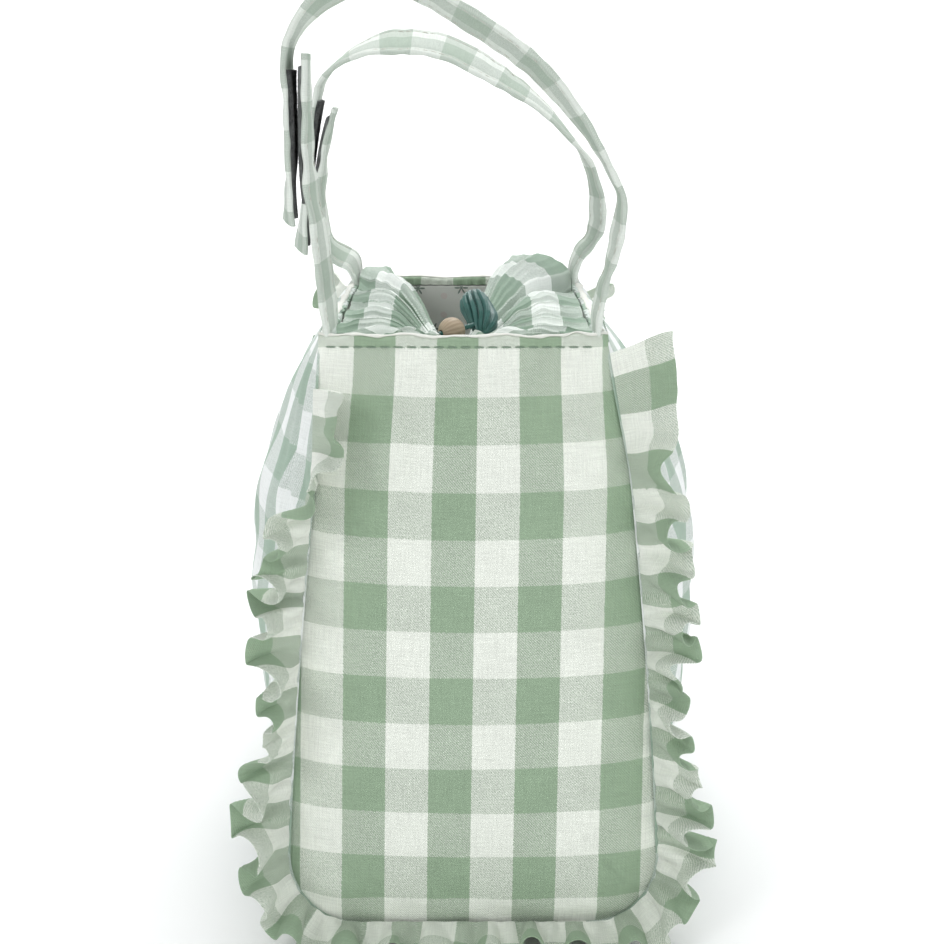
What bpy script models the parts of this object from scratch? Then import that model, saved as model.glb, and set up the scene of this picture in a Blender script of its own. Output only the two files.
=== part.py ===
"""A small gingham bag: padded walls, ruffled seams, two strap handles and a gathered collar.

+Z is up, the front faces -Y and the origin is the centre of the base. Lengths are in metres.
"""

import math

import bmesh
import bpy
from mathutils import Matrix, Vector

GAP = 0.0003

# Walls
RIM_HEIGHT = 0.205
HEM_HEIGHT = 0.004
RIM_HALF_WIDTH = 0.049
BASE_HALF_WIDTH = 0.066
RIM_HALF_DEPTH = 0.072
BASE_HALF_DEPTH = 0.110
CORNER_RADIUS = 0.025
TAPER_POWER = 1.5
SIDE_BULGE = 0.029
FULLEST_HEIGHT = 0.120
PANEL_PUFF = 0.004

# Layers of each wall, as depths below its outer face
CLOTH = (0.0, 0.0008)
WADDING = (0.0013, 0.0041)
LINING = (0.0045, 0.0051)
BOARD = (0.0011, 0.0031)
BASE_LINING = (0.0034, 0.0040)
WADDING_INSET = 0.0012
LINING_INSET = 0.0047
WALL_LEAN = 0.19
WALL_ROWS = 14
STRAIGHT_SHARE = 8 / WALL_ROWS
SIDE_COLUMNS = 12
SEAM_STRIP = 0.008

# Ruffles
RUFFLE_WIDTH = 0.024
RUFFLE_THICKNESS = 0.005
RUFFLE_TOP = 0.199
RUFFLE_LEAN = 0.7

# Straps
STRAP_Y = 0.059
STRAP_WIDTH = 0.026
STRAP_THICKNESS = 0.0022
TAPE_WIDTH = 0.024
TAPE_THICKNESS = 0.0015
ANCHOR_X = 0.0465
ANCHOR_RADIUS = 0.0115
STRAP_FOOT = RIM_HEIGHT + 0.0122

# Collar
COLLAR_SIDE_X = 0.0434
COLLAR_FRONT_Y = -0.0664
COLLAR_BACK_Y = 0.062
COLLAR_RIM_Z = 0.2005
COLLAR_TIP_Z = 0.1975
COLLAR_DOME = 0.011
COLLAR_THICKNESS = 0.002

# Drawcord, bead and tassel
CORD_RADIUS = 0.001
BEAD_RADIUS = 0.0052
BEAD_BORE_RADIUS = 0.0014
CORD_START = Vector((-0.0098, -0.0575, 0.2041))
CORD_END = Vector((0.0040, -0.0475, 0.2060))
BEAD_CENTRE = CORD_START.lerp(CORD_END, 0.335)
KNOT_RADIUS = 0.0021


def clear_scene():
    for old in list(bpy.data.objects):
        bpy.data.objects.remove(old, do_unlink=True)


def make_material(name, colour, roughness):
    material = bpy.data.materials.new(name)
    material.use_nodes = True
    shader = material.node_tree.nodes["Principled BSDF"]
    shader.inputs["Base Color"].default_value = (*colour, 1.0)
    shader.inputs["Roughness"].default_value = roughness
    return material


GREEN_CLOTH = (0.42, 0.55, 0.42)
CREAM_CLOTH = (0.86, 0.84, 0.76)
WHITE_FIBRE = (0.88, 0.88, 0.86)
DARK_TAPE = (0.16, 0.17, 0.17)
TEAL_SATIN = (0.10, 0.42, 0.38)
PALE_WOOD = (0.66, 0.47, 0.29)


def add_object(name, mesh, colour, roughness=0.85, parent=None):
    """Turn a closed bmesh in world coordinates into a named object."""
    bmesh.ops.recalc_face_normals(mesh, faces=mesh.faces)
    data = bpy.data.meshes.new(name)
    mesh.to_mesh(data)
    mesh.free()
    data.shade_smooth()
    data.set_sharp_from_angle(angle=math.radians(35))
    data.materials.append(make_material(name, colour, roughness))
    piece = bpy.data.objects.new(name, data)
    bpy.context.collection.objects.link(piece)
    if parent:
        piece.parent = parent
        piece.matrix_parent_inverse = Matrix.Translation(-parent.location)
    return piece


def add_axis(name, location, parent=None):
    """An empty on a joint's axis, which carries the pieces that move."""
    axis = bpy.data.objects.new(name, None)
    axis.location = location
    bpy.context.collection.objects.link(axis)
    if parent:
        axis.parent = parent
        axis.matrix_parent_inverse = Matrix.Translation(-parent.location)
    return axis


def add_sheet(name, surface, depths, columns, rows, colour, parent=None):
    """A closed sheet. surface(u, v) gives a point of its outer face and the way inwards.

    Its cells are split the same way on both faces, so that stacked layers keep their gap.
    """
    mesh = bmesh.new()
    faces = []
    for depth in depths:
        grid = []
        for row in range(rows + 1):
            line = []
            for column in range(columns + 1):
                point, inwards = surface(column / columns, row / rows)
                line.append(mesh.verts.new(point + inwards * depth))
            grid.append(line)
        faces.append(grid)
    outer, inner = faces
    for grid in faces:
        for row in range(rows):
            for column in range(columns):
                first, last = grid[row][column], grid[row + 1][column + 1]
                mesh.faces.new((first, grid[row][column + 1], last))
                mesh.faces.new((first, last, grid[row + 1][column]))
    for column in range(columns):
        for row in (0, rows):
            mesh.faces.new(
                (outer[row][column], outer[row][column + 1], inner[row][column + 1], inner[row][column])
            )
    for row in range(rows):
        for column in (0, columns):
            mesh.faces.new(
                (outer[row][column], outer[row + 1][column], inner[row + 1][column], inner[row][column])
            )
    return add_object(name, mesh, colour, parent=parent)


def half_depth(height):
    """How far the front and back walls stand from the middle."""
    return BASE_HALF_DEPTH + (RIM_HALF_DEPTH - BASE_HALF_DEPTH) * height / RIM_HEIGHT


def side_width(height):
    """Half the width of the front and back panels above their round corners."""
    narrowing = (BASE_HALF_WIDTH - RIM_HALF_WIDTH) * (height / RIM_HEIGHT) ** TAPER_POWER
    return BASE_HALF_WIDTH - narrowing


CORNER_X = side_width(CORNER_RADIUS) - CORNER_RADIUS
STRAIGHT_LENGTH = RIM_HEIGHT - CORNER_RADIUS


def outline(distance):
    """A point of the side's outline, and its outward way, at a distance down from the rim."""
    if distance <= STRAIGHT_LENGTH:
        height = RIM_HEIGHT - distance
        return side_width(height), height, 1.0, 0.0
    angle = (distance - STRAIGHT_LENGTH) / CORNER_RADIUS
    across, down = math.cos(angle), math.sin(angle)
    return CORNER_X + CORNER_RADIUS * across, CORNER_RADIUS * (1.0 - down), across, -down


def down_outline(share, start, end):
    """The distance at a share of the way from start to end, with more rows round the corner."""
    if end <= STRAIGHT_LENGTH:
        return start + (end - start) * share
    if share <= STRAIGHT_SHARE:
        return start + (STRAIGHT_LENGTH - start) * share / STRAIGHT_SHARE
    return STRAIGHT_LENGTH + (end - STRAIGHT_LENGTH) * (share - STRAIGHT_SHARE) / (1.0 - STRAIGHT_SHARE)


def panel_surface(facing, start, end, inset):
    """The front (facing -1) or back (facing 1) panel between two distances down its outline."""

    def surface(u, v):
        x, height, out_x, out_z = outline(down_outline(v, start, end))
        x -= out_x * inset
        height -= out_z * inset
        across = 2.0 * u - 1.0
        puff = PANEL_PUFF * (1.0 - across**4) * math.sin(math.pi * height / RIM_HEIGHT)
        y = facing * (half_depth(height) + puff)
        return Vector((across * x, y, height)), Vector((0.0, -facing, 0.0))

    return surface


OUTLINE_LENGTH = STRAIGHT_LENGTH + CORNER_RADIUS * math.pi / 2.0


def bulge(height):
    """How far a side wall stands out past the panels, half way between them."""
    if height > FULLEST_HEIGHT:
        away = (height - FULLEST_HEIGHT) / (RIM_HEIGHT - FULLEST_HEIGHT)
    else:
        away = (FULLEST_HEIGHT - height) / FULLEST_HEIGHT
    return SIDE_BULGE * (1.0 - away**2)


def side_surface(side, start, end, margin):
    """The left (side -1) or right (side 1) wall, margin short of the front and back faces.

    Every layer has its inner columns in the same places, so that only the seam strips differ.
    """

    def surface(u, v):
        x, height, out_x, out_z = outline(down_outline(v, start, end))
        full = half_depth(height)
        column = u * SIDE_COLUMNS - 1.0
        y = (full - SEAM_STRIP) * (2.0 * column / (SIDE_COLUMNS - 2.0) - 1.0)
        if u in (0.0, 1.0):
            y = (full - margin) * (2.0 * u - 1.0)
        share = 0.5 + 0.5 * y / full
        x += bulge(height) * math.sin(math.pi * share)
        return Vector((side * x, y, height)), Vector((-side * out_x, 0.0, -out_z))

    return surface


def base_surface(margin):
    """The flat bottom between the two side walls."""
    reach_x = CORNER_X - GAP
    reach_y = BASE_HALF_DEPTH - margin

    def surface(u, v):
        x = -reach_x + 2.0 * reach_x * u
        return Vector((x, -reach_y + 2.0 * reach_y * v, 0.0)), Vector((0.0, 0.0, 1.0))

    return surface


def layer_margin(depths):
    """How far a side layer stops short of the panels, which lean in above its inner face."""
    return depths[1] * (1.0 + WALL_LEAN) + GAP


def add_walls():
    """Five walls of three layers each, and a folded hem on top of four of them."""
    wall_start = HEM_HEIGHT + GAP
    for name, facing in (("front", -1.0), ("back", 1.0)):
        layers = (
            ("panel", CLOTH, 0.0, GREEN_CLOTH),
            ("wadding", WADDING, WADDING_INSET, WHITE_FIBRE),
            ("lining", LINING, LINING_INSET, CREAM_CLOTH),
        )
        for layer, depths, inset, colour in layers:
            surface = panel_surface(facing, wall_start, OUTLINE_LENGTH, inset)
            add_sheet(f"{name}_{layer}", surface, depths, 8, WALL_ROWS, colour)
        hem = panel_surface(facing, 0.0, HEM_HEIGHT, 0.0)
        add_sheet(f"{name}_hem", hem, (0.0, LINING[1]), 8, 1, GREEN_CLOTH)
    for name, side in (("left", -1.0), ("right", 1.0)):
        layers = (
            ("side_panel", CLOTH, GREEN_CLOTH),
            ("wadding", WADDING, WHITE_FIBRE),
            ("lining", LINING, CREAM_CLOTH),
        )
        for layer, depths, colour in layers:
            surface = side_surface(side, wall_start, OUTLINE_LENGTH, layer_margin(depths))
            add_sheet(f"{name}_{layer}", surface, depths, SIDE_COLUMNS, WALL_ROWS, colour)
        hem = side_surface(side, 0.0, HEM_HEIGHT, layer_margin(LINING))
        add_sheet(f"{name}_hem", hem, (0.0, LINING[1]), SIDE_COLUMNS, 1, GREEN_CLOTH)
    add_sheet("base_panel", base_surface(layer_margin(CLOTH)), CLOTH, 4, 4, GREEN_CLOTH)
    add_sheet("base_board", base_surface(layer_margin(WADDING)), BOARD, 2, 2, WHITE_FIBRE)
    add_sheet("base_lining", base_surface(layer_margin(LINING)), BASE_LINING, 2, 2, CREAM_CLOTH)


def ruffle_surface(facing):
    """The band of a ruffle, from its left top end round under the panel to the right one.

    At the sides it stands out sideways, and at the bottom it lies forward on the floor.
    """
    start = RIM_HEIGHT - RUFFLE_TOP
    side_length = OUTLINE_LENGTH - start
    half_length = side_length + CORNER_X

    def surface(u, v):
        along = (2.0 * u - 1.0) * half_length
        side = -1.0 if along < 0.0 else 1.0
        along = abs(along)
        if along <= CORNER_X:
            x, height, out_x, out_z = along, 0.0, 0.0, -1.0
        else:
            x, height, out_x, out_z = outline(OUTLINE_LENGTH - (along - CORNER_X))
        down = -out_z
        outwards = Vector((side * out_x, facing * (down + RUFFLE_LEAN * out_x), 0.0)).normalized()
        thickness_way = Vector((side * out_x * -RUFFLE_LEAN, facing * out_x, down)).normalized()
        y = facing * (half_depth(height) + GAP + 0.0016 * down)
        seam = Vector((side * (x + out_x * 0.0006), y, height + down * GAP))
        return seam + outwards * (RUFFLE_WIDTH * v), thickness_way

    return surface


def add_ruffles():
    for name, facing in (("front", -1.0), ("back", 1.0)):
        depths = (0.0, RUFFLE_THICKNESS)
        add_sheet(f"{name}_ruffle", ruffle_surface(facing), depths, 56, 2, GREEN_CLOTH)


def smooth_route(points, steps):
    """A curve through (x, z) points: each stretch between two of them in equal steps."""
    ends = [points[0], *points, points[-1]]
    route = []
    for index in range(len(points) - 1):
        before, first, second, after = (Vector(p) for p in ends[index : index + 4])
        for step in range(steps):
            t = step / steps
            bend = 2.0 * first + (second - before) * t
            bend += (2.0 * before - 5.0 * first + 4.0 * second - after) * t**2
            bend += (3.0 * first - before - 3.0 * second + after) * t**3
            route.append(bend / 2.0)
    route.append(Vector(points[-1]))
    return route


def add_strip(name, route, y, width, near, far, colour, parent):
    """A flat strap along a route in the XZ plane, between two distances left of the route."""
    mesh = bmesh.new()
    rings = []
    for index, point in enumerate(route):
        before = (point - route[index - 1]).normalized() if index else None
        after = (route[index + 1] - point).normalized() if index + 1 < len(route) else None
        before = before or after
        after = after or before
        way = (before + after).normalized()
        left = Vector((-way.y, way.x)) / max(way.dot(after), 0.5)
        ring = []
        for offset, edge in ((near, -1.0), (near, 1.0), (far, 1.0), (far, -1.0)):
            spot = point + left * offset
            ring.append(mesh.verts.new((spot.x, y + edge * width / 2.0, spot.y)))
        rings.append(ring)
    for ring, following in zip(rings, rings[1:]):
        for corner in range(4):
            turn = (corner + 1) % 4
            mesh.faces.new((ring[corner], ring[turn], following[turn], following[corner]))
    mesh.faces.new(rings[0])
    mesh.faces.new(rings[-1])
    return add_object(name, mesh, colour, parent=parent)


def add_anchor(name, side, y):
    """The half-round foot of a strap, which stands on the hem and stays with the bag."""
    mesh = bmesh.new()
    inner, outer = ANCHOR_X - STRAP_THICKNESS / 2.0, ANCHOR_X + STRAP_THICKNESS / 2.0
    rings = []
    steps = 12
    for x in (inner, outer):
        ring = []
        for step in range(steps + 1):
            angle = math.pi * step / steps
            z = RIM_HEIGHT + GAP + (ANCHOR_RADIUS - GAP) * math.sin(angle)
            ring.append(mesh.verts.new((side * x, y + ANCHOR_RADIUS * math.cos(angle), z)))
        rings.append(ring)
    for ring in rings:
        mesh.faces.new(ring)
    for step in range(steps + 1):
        turn = (step + 1) % (steps + 1)
        mesh.faces.new((rings[0][step], rings[0][turn], rings[1][turn], rings[1][step]))
    add_object(name, mesh, GREEN_CLOTH)


# Each handle: its arch from the right foot over the top, its hanging tail and its short strap.
# The two middle points of the arch's flat top share a height, and a bar can carry it there.
HANDLES = {
    "front": {
        "y": -STRAP_Y,
        "arch": (
            (ANCHOR_X, STRAP_FOOT),
            (0.0502, 0.2290),
            (0.0526, 0.2430),
            (0.0516, 0.2530),
            (0.0455, 0.2650),
            (0.0325, 0.2830),
            (0.0113, 0.3013),
            (-0.0060, 0.3120),
            (-0.0180, 0.3190),
            (-0.0250, 0.3190),
            (-0.0320, 0.3190),
            (-0.0390, 0.3190),
            (-0.0500, 0.3115),
            (-0.0582, 0.3030),
            (-0.0593, 0.2975),
        ),
        "tail": ((-0.0593, 0.2972), (-0.0593, 0.2690), (-0.0593, 0.2410)),
        "short": (
            (-ANCHOR_X, STRAP_FOOT),
            (-0.0490, 0.2290),
            (-0.0505, 0.2380),
            (-0.0522, 0.2480),
            (-0.0530, 0.2600),
            (-0.0530, 0.2780),
            (-0.0530, 0.2960),
        ),
        "tape_span": (0.2480, 0.2950),
    },
    "back": {
        "y": STRAP_Y,
        "arch": (
            (ANCHOR_X, STRAP_FOOT),
            (0.0525, 0.2240),
            (0.0552, 0.2320),
            (0.0546, 0.2410),
            (0.0500, 0.2560),
            (0.0388, 0.2690),
            (0.0136, 0.2891),
            (-0.0029, 0.2980),
            (-0.0150, 0.3025),
            (-0.0220, 0.3025),
            (-0.0290, 0.3025),
            (-0.0360, 0.3025),
            (-0.0470, 0.2985),
            (-0.0590, 0.2905),
            (-0.0625, 0.2830),
        ),
        "tail": ((-0.0626, 0.2827), (-0.0668, 0.2540), (-0.0708, 0.2170)),
        "short": (
            (-ANCHOR_X, STRAP_FOOT),
            (-0.0470, 0.2200),
            (-0.0525, 0.2240),
            (-0.0588, 0.2280),
            (-0.0612, 0.2360),
            (-0.0612, 0.2450),
            (-0.0600, 0.2560),
            (-0.0575, 0.2680),
            (-0.0545, 0.2765),
        ),
        "tape_span": (0.2400, 0.2755),
    },
}


def between_heights(route, low, high):
    """The stretch of a route that lies between two heights."""
    return [point for point in route if low <= point.y <= high]


def add_handle(name, handle):
    y = handle["y"]
    half = STRAP_THICKNESS / 2.0
    for side_name, side in (("left", -1.0), ("right", 1.0)):
        add_anchor(f"{name}_{side_name}_strap_foot", side, y)
    swing = add_axis(f"{name}_handle_axis", (0.0, y, RIM_HEIGHT))
    arch = smooth_route(handle["arch"], 3)
    short = smooth_route(handle["short"], 4)
    tail = smooth_route(handle["tail"], 4)
    add_strip(f"{name}_long_strap", arch, y, STRAP_WIDTH, -half, half, GREEN_CLOTH, swing)
    add_strip(f"{name}_short_strap", short, y, STRAP_WIDTH, -half, half, GREEN_CLOTH, swing)
    loop_near = half + GAP
    taped = between_heights(short, *handle["tape_span"])
    loop_far = loop_near + TAPE_THICKNESS
    add_strip(f"{name}_loop_tape", taped, y, TAPE_WIDTH, loop_near, loop_far, WHITE_FIBRE, swing)
    top = tail[0]
    peel = add_axis(f"{name}_tail_axis", (top.x - half, y, top.y), swing)
    add_strip(f"{name}_strap_tail", tail, y, STRAP_WIDTH, -half, half, GREEN_CLOTH, peel)
    hooks = tail[1:-1]
    hook_far = loop_near + TAPE_THICKNESS
    add_strip(f"{name}_hook_tape", hooks, y, TAPE_WIDTH, loop_near, hook_far, DARK_TAPE, peel)


def collar_surface(side, tip_x, tip_radius):
    """A fan of cloth from its gathered tip to the front rim and one side rim."""
    tip = Vector((tip_x, -0.050, 0.0))
    front_length = COLLAR_SIDE_X - 0.008
    side_length = COLLAR_BACK_Y - COLLAR_FRONT_Y
    inner_x = 0.008 if side > 0.0 else 0.016

    def surface(u, v):
        along = u * (front_length + side_length)
        if along < front_length:
            share = along / front_length
            rim = Vector((side * (inner_x + share * (COLLAR_SIDE_X - inner_x)), COLLAR_FRONT_Y, 0.0))
        else:
            rim = Vector((side * COLLAR_SIDE_X, COLLAR_FRONT_Y + along - front_length, 0.0))
        angle = math.pi * u
        turn = Vector((side * math.sin(angle), -math.cos(angle), 0.0))
        point = (tip + turn * tip_radius).lerp(rim, v)
        fullness = 0.25 + 0.6 * math.sin(0.5 * math.pi * u)
        dome = COLLAR_DOME * fullness * 16.0 * v**2 * (1.0 - v) ** 2
        point.z = COLLAR_TIP_Z + (COLLAR_RIM_Z - COLLAR_TIP_Z) * v + dome
        return point, Vector((0.0, 0.0, -1.0))

    return surface


def add_taper(name, centres, radii, sides, colour, parent):
    """A round solid along a line of centres, with a radius at each."""
    mesh = bmesh.new()
    rings = []
    for index, centre in enumerate(centres):
        before = centres[max(index - 1, 0)]
        after = centres[min(index + 1, len(centres) - 1)]
        turn = (after - before).to_track_quat("Z", "Y")
        ring = []
        for step in range(sides):
            angle = 2.0 * math.pi * step / sides
            spoke = Vector((math.cos(angle), math.sin(angle), 0.0)) * radii[index]
            ring.append(mesh.verts.new(centre + turn @ spoke))
        rings.append(ring)
    for ring, following in zip(rings, rings[1:]):
        for step in range(sides):
            turn = (step + 1) % sides
            mesh.faces.new((ring[step], ring[turn], following[turn], following[step]))
    mesh.faces.new(rings[0])
    mesh.faces.new(rings[-1])
    return add_object(name, mesh, colour, roughness=0.5, parent=parent)


def add_bead(parent):
    """A round wooden bead with a bore for the cord, threaded along the cord's way."""
    mesh = bmesh.new()
    way = (CORD_END - CORD_START).normalized().to_track_quat("Z", "Y")
    half_length = math.sqrt(BEAD_RADIUS**2 - BEAD_BORE_RADIUS**2)
    first_angle = math.asin(BEAD_BORE_RADIUS / BEAD_RADIUS)
    arc = 8
    profile = []
    for step in range(arc + 1):
        angle = first_angle + (math.pi - 2.0 * first_angle) * step / arc
        profile.append((BEAD_RADIUS * math.sin(angle), BEAD_RADIUS * math.cos(angle)))
    profile[0] = (BEAD_BORE_RADIUS, half_length)
    profile[-1] = (BEAD_BORE_RADIUS, -half_length)
    sides = 18
    rings = []
    for step in range(sides):
        angle = 2.0 * math.pi * step / sides
        spoke = Vector((math.cos(angle), math.sin(angle), 0.0))
        ring = []
        for radius, rise in profile:
            ring.append(mesh.verts.new(BEAD_CENTRE + way @ (spoke * radius + Vector((0, 0, rise)))))
        rings.append(ring)
    count = len(profile)
    for step in range(sides):
        ring, following = rings[step], rings[(step + 1) % sides]
        for index in range(count):
            after = (index + 1) % count
            mesh.faces.new((ring[index], ring[after], following[after], following[index]))
    return add_object("wooden_bead", mesh, PALE_WOOD, roughness=0.5, parent=parent)


def add_collar():
    """Two fans of cloth that close the mouth, with the drawcord, its bead and its tassel."""
    hinge = Vector((COLLAR_SIDE_X, 0.0, COLLAR_RIM_Z))
    left = add_axis("left_collar_axis", (-hinge.x, 0.0, hinge.z))
    right = add_axis("right_collar_axis", (hinge.x, 0.0, hinge.z))
    depths = (0.0, COLLAR_THICKNESS)
    left_fan = collar_surface(-1.0, -0.0135, 0.0035)
    right_fan = collar_surface(1.0, -0.0015, 0.0050)
    add_sheet("left_collar", left_fan, depths, 16, 8, GREEN_CLOTH, left)
    add_sheet("right_collar", right_fan, depths, 16, 8, GREEN_CLOTH, right)
    cord_way = CORD_END - CORD_START
    stations = [CORD_START + cord_way * share for share in (0.0, 0.25, 0.5, 0.75, 1.0)]
    add_taper("drawcord", stations, [CORD_RADIUS] * 5, 8, TEAL_SATIN, right)
    way = cord_way.normalized()
    knot_centre = CORD_START - way * (GAP + 0.0018)
    knot = [knot_centre + way * shift for shift in (-0.0018, -0.0009, 0.0009, 0.0018)]
    knot_radii = [0.6 * KNOT_RADIUS, KNOT_RADIUS, KNOT_RADIUS, 0.6 * KNOT_RADIUS]
    add_taper("drawcord_knot", knot, knot_radii, 10, TEAL_SATIN, right)
    flare = Vector((-0.0026, 0.0165, 0.0049))
    neck = CORD_END + flare.normalized() * (CORD_RADIUS + GAP)
    tassel = [neck + flare * share for share in (0.0, 0.25, 0.5, 0.75, 1.0)]
    add_taper("satin_tassel", tassel, [0.0018, 0.0034, 0.0048, 0.0054, 0.0048], 12, TEAL_SATIN, right)
    bead_axis = add_axis("bead_axis", BEAD_CENTRE, right)
    add_bead(bead_axis)


clear_scene()
add_walls()
add_ruffles()
for handle_name, handle_sizes in HANDLES.items():
    add_handle(handle_name, handle_sizes)
add_collar()
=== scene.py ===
"""The looks of a small ruffled gingham bag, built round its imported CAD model. Lengths are in metres."""

import math

import bpy
import numpy as np
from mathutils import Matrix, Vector


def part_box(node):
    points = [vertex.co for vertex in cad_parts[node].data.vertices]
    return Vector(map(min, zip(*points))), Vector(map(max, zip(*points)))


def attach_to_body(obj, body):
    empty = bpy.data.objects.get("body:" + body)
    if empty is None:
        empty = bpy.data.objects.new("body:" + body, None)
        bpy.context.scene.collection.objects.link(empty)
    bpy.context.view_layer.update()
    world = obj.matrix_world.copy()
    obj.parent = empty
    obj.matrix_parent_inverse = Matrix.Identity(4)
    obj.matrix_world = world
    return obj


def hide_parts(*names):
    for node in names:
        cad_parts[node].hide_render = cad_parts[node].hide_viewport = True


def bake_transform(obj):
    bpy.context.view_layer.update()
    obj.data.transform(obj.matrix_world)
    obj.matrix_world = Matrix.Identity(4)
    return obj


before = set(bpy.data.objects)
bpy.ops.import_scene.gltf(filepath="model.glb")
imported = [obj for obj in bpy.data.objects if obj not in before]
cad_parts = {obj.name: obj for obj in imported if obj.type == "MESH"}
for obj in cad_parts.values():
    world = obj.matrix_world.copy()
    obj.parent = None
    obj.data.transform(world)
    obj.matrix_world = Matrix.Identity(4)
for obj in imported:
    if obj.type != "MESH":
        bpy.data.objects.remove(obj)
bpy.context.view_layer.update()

MM = 0.001

# The bag's outline, as in the CAD
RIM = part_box("front_hem")[1][2]
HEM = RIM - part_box("front_hem")[0][2]
RIM_HALF_WIDTH = 49 * MM
BASE_HALF_WIDTH = 66 * MM
RIM_HALF_DEPTH = 72 * MM
BASE_HALF_DEPTH = 110 * MM
CORNER = 25 * MM
TAPER_POWER = 1.5
SIDE_BULGE = 29 * MM
FULLEST = 120 * MM
STRAIGHT = RIM - CORNER
OUTLINE_LENGTH = STRAIGHT + CORNER * math.pi / 2
CORNER_X = BASE_HALF_WIDTH - (BASE_HALF_WIDTH - RIM_HALF_WIDTH) * (CORNER / RIM) ** TAPER_POWER - CORNER
BASE_SWAY, RIM_SWAY = 2.4 * MM, -1 * MM

# Gingham: the width of a check along a row, and its height down a column
CHECK = 15 * MM
CHECK_HEIGHT = 15.8 * MM
COLUMN_START = 3 * MM
ROW_START = 186.4 * MM

STITCH_PITCH = 4.6 * MM
THREAD = 0.28 * MM

SAGE = (0.290, 0.395, 0.272)
WHITE = (0.800, 0.830, 0.760)


# ---------------------------------------------------------------- numbers

def blend_step(low, high, x):
    t = np.clip((np.asarray(x, float) - low) / (high - low), 0.0, 1.0)
    return t * t * (3 - 2 * t)


def hump(x, centre, width):
    return np.exp(-(((x - centre) / width) ** 2))


def wander(x, wavelength, seed, y=None, y_wavelength=None, waves=5):
    """A smooth, repeatable, random-looking wave between about -1 and 1."""
    rng = np.random.default_rng(seed)
    total = np.zeros(np.broadcast(x, 0.0 if y is None else y).shape)
    for _ in range(waves):
        phase, stretch, tilt = rng.uniform(0, 2 * np.pi), rng.uniform(0.55, 1.7), rng.uniform(-1, 1)
        angle = 2 * np.pi * x * stretch / wavelength + phase
        if y is not None:
            angle = angle + 2 * np.pi * y * tilt / (y_wavelength or wavelength)
        total = total + np.sin(angle)
    return total / math.sqrt(waves * 0.8)


def outline(distance):
    """The side's outline at distances down from the rim: x, z and the outward way."""
    distance = np.asarray(distance, float)
    angle = np.clip((distance - STRAIGHT) / CORNER, 0, math.pi / 2)
    height = np.where(distance <= STRAIGHT, RIM - distance, CORNER * (1 - np.sin(angle)))
    narrowing = (BASE_HALF_WIDTH - RIM_HALF_WIDTH) * (np.maximum(height, 0) / RIM) ** TAPER_POWER
    x = np.where(distance <= STRAIGHT, BASE_HALF_WIDTH - narrowing, CORNER_X + CORNER * np.cos(angle))
    return x, height, np.cos(angle), -np.sin(angle)


def half_depth(height):
    return BASE_HALF_DEPTH + (RIM_HALF_DEPTH - BASE_HALF_DEPTH) * height / RIM


def sway(height):
    return BASE_SWAY + (RIM_SWAY - BASE_SWAY) * blend_step(150 * MM, RIM, height)


def bulge(height):
    above = 1 - ((height - FULLEST) / (RIM - FULLEST)) ** 2
    below = 1 - ((FULLEST - height) / FULLEST) ** 2
    return SIDE_BULGE * np.where(height > FULLEST, above, below)


def stack(x, y, z):
    return np.stack(np.broadcast_arrays(x, y, z), -1).astype(float)


def unit(vectors):
    return vectors / np.maximum(np.linalg.norm(vectors, axis=-1, keepdims=True), 1e-12)


def grid_normals(points):
    return unit(np.cross(np.gradient(points, axis=0), np.gradient(points, axis=1)))


def smooth_route(points, steps):
    """A curve through a route's points, with the same number of steps in each stretch."""
    points = np.asarray(points, float)
    padded = np.vstack([points[0], points, points[-1]])
    route = []
    for index in range(len(points) - 1):
        before, first, second, after = padded[index : index + 4]
        for step in range(steps):
            t = step / steps
            bend = 2 * first + (second - before) * t
            bend = bend + (2 * before - 5 * first + 4 * second - after) * t**2
            bend = bend + (3 * first - before - 3 * second + after) * t**3
            route.append(bend / 2)
    route.append(points[-1])
    return np.array(route)


def even_route(points, spacing):
    """A route resampled at an even spacing, and the distance along it."""
    lengths = np.concatenate([[0], np.cumsum(np.linalg.norm(np.diff(points, axis=0), axis=1))])
    along = np.linspace(0, lengths[-1], max(int(round(lengths[-1] / spacing)), 2) + 1)
    return np.stack([np.interp(along, lengths, points[:, axis]) for axis in range(points.shape[1])], -1), along


# ---------------------------------------------------------------- meshes

def add_mesh(name, points, faces, face_uv, material, flat=False):
    """An object from points, quads and each face's UVs, with its faces turned outwards."""
    points = np.asarray(points, float)
    faces = np.asarray(faces, np.int64)
    face_uv = np.asarray(face_uv, float)
    a, b, c, d = (points[faces[:, corner]] for corner in range(4))
    volume = np.einsum("ij,ij->", a, np.cross(b, c)) + np.einsum("ij,ij->", a, np.cross(c, d))
    if volume < 0:
        faces, face_uv = faces[:, ::-1], face_uv[:, ::-1]
    mesh = bpy.data.meshes.new(name)
    mesh.from_pydata(points.tolist(), [], faces.tolist())
    layer = mesh.uv_layers.new(name="cloth")
    layer.data.foreach_set("uv", face_uv.reshape(-1).astype(np.float32))
    if not flat:
        mesh.shade_smooth()
        mesh.set_sharp_from_angle(angle=math.radians(60))
    mesh.materials.append(material)
    piece = bpy.data.objects.new(name, mesh)
    bpy.context.collection.objects.link(piece)
    return piece


def quads(rows, columns, start=0, wrap=False):
    """The faces of a grid of points stored row by row."""
    row, column = np.meshgrid(np.arange(rows - 1), np.arange(columns if wrap else columns - 1), indexing="ij")
    row, column = row.ravel(), column.ravel()
    after = (column + 1) % columns
    corner = row * columns
    return start + np.stack([corner + column, corner + after, corner + columns + after, corner + columns + column], -1)


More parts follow.
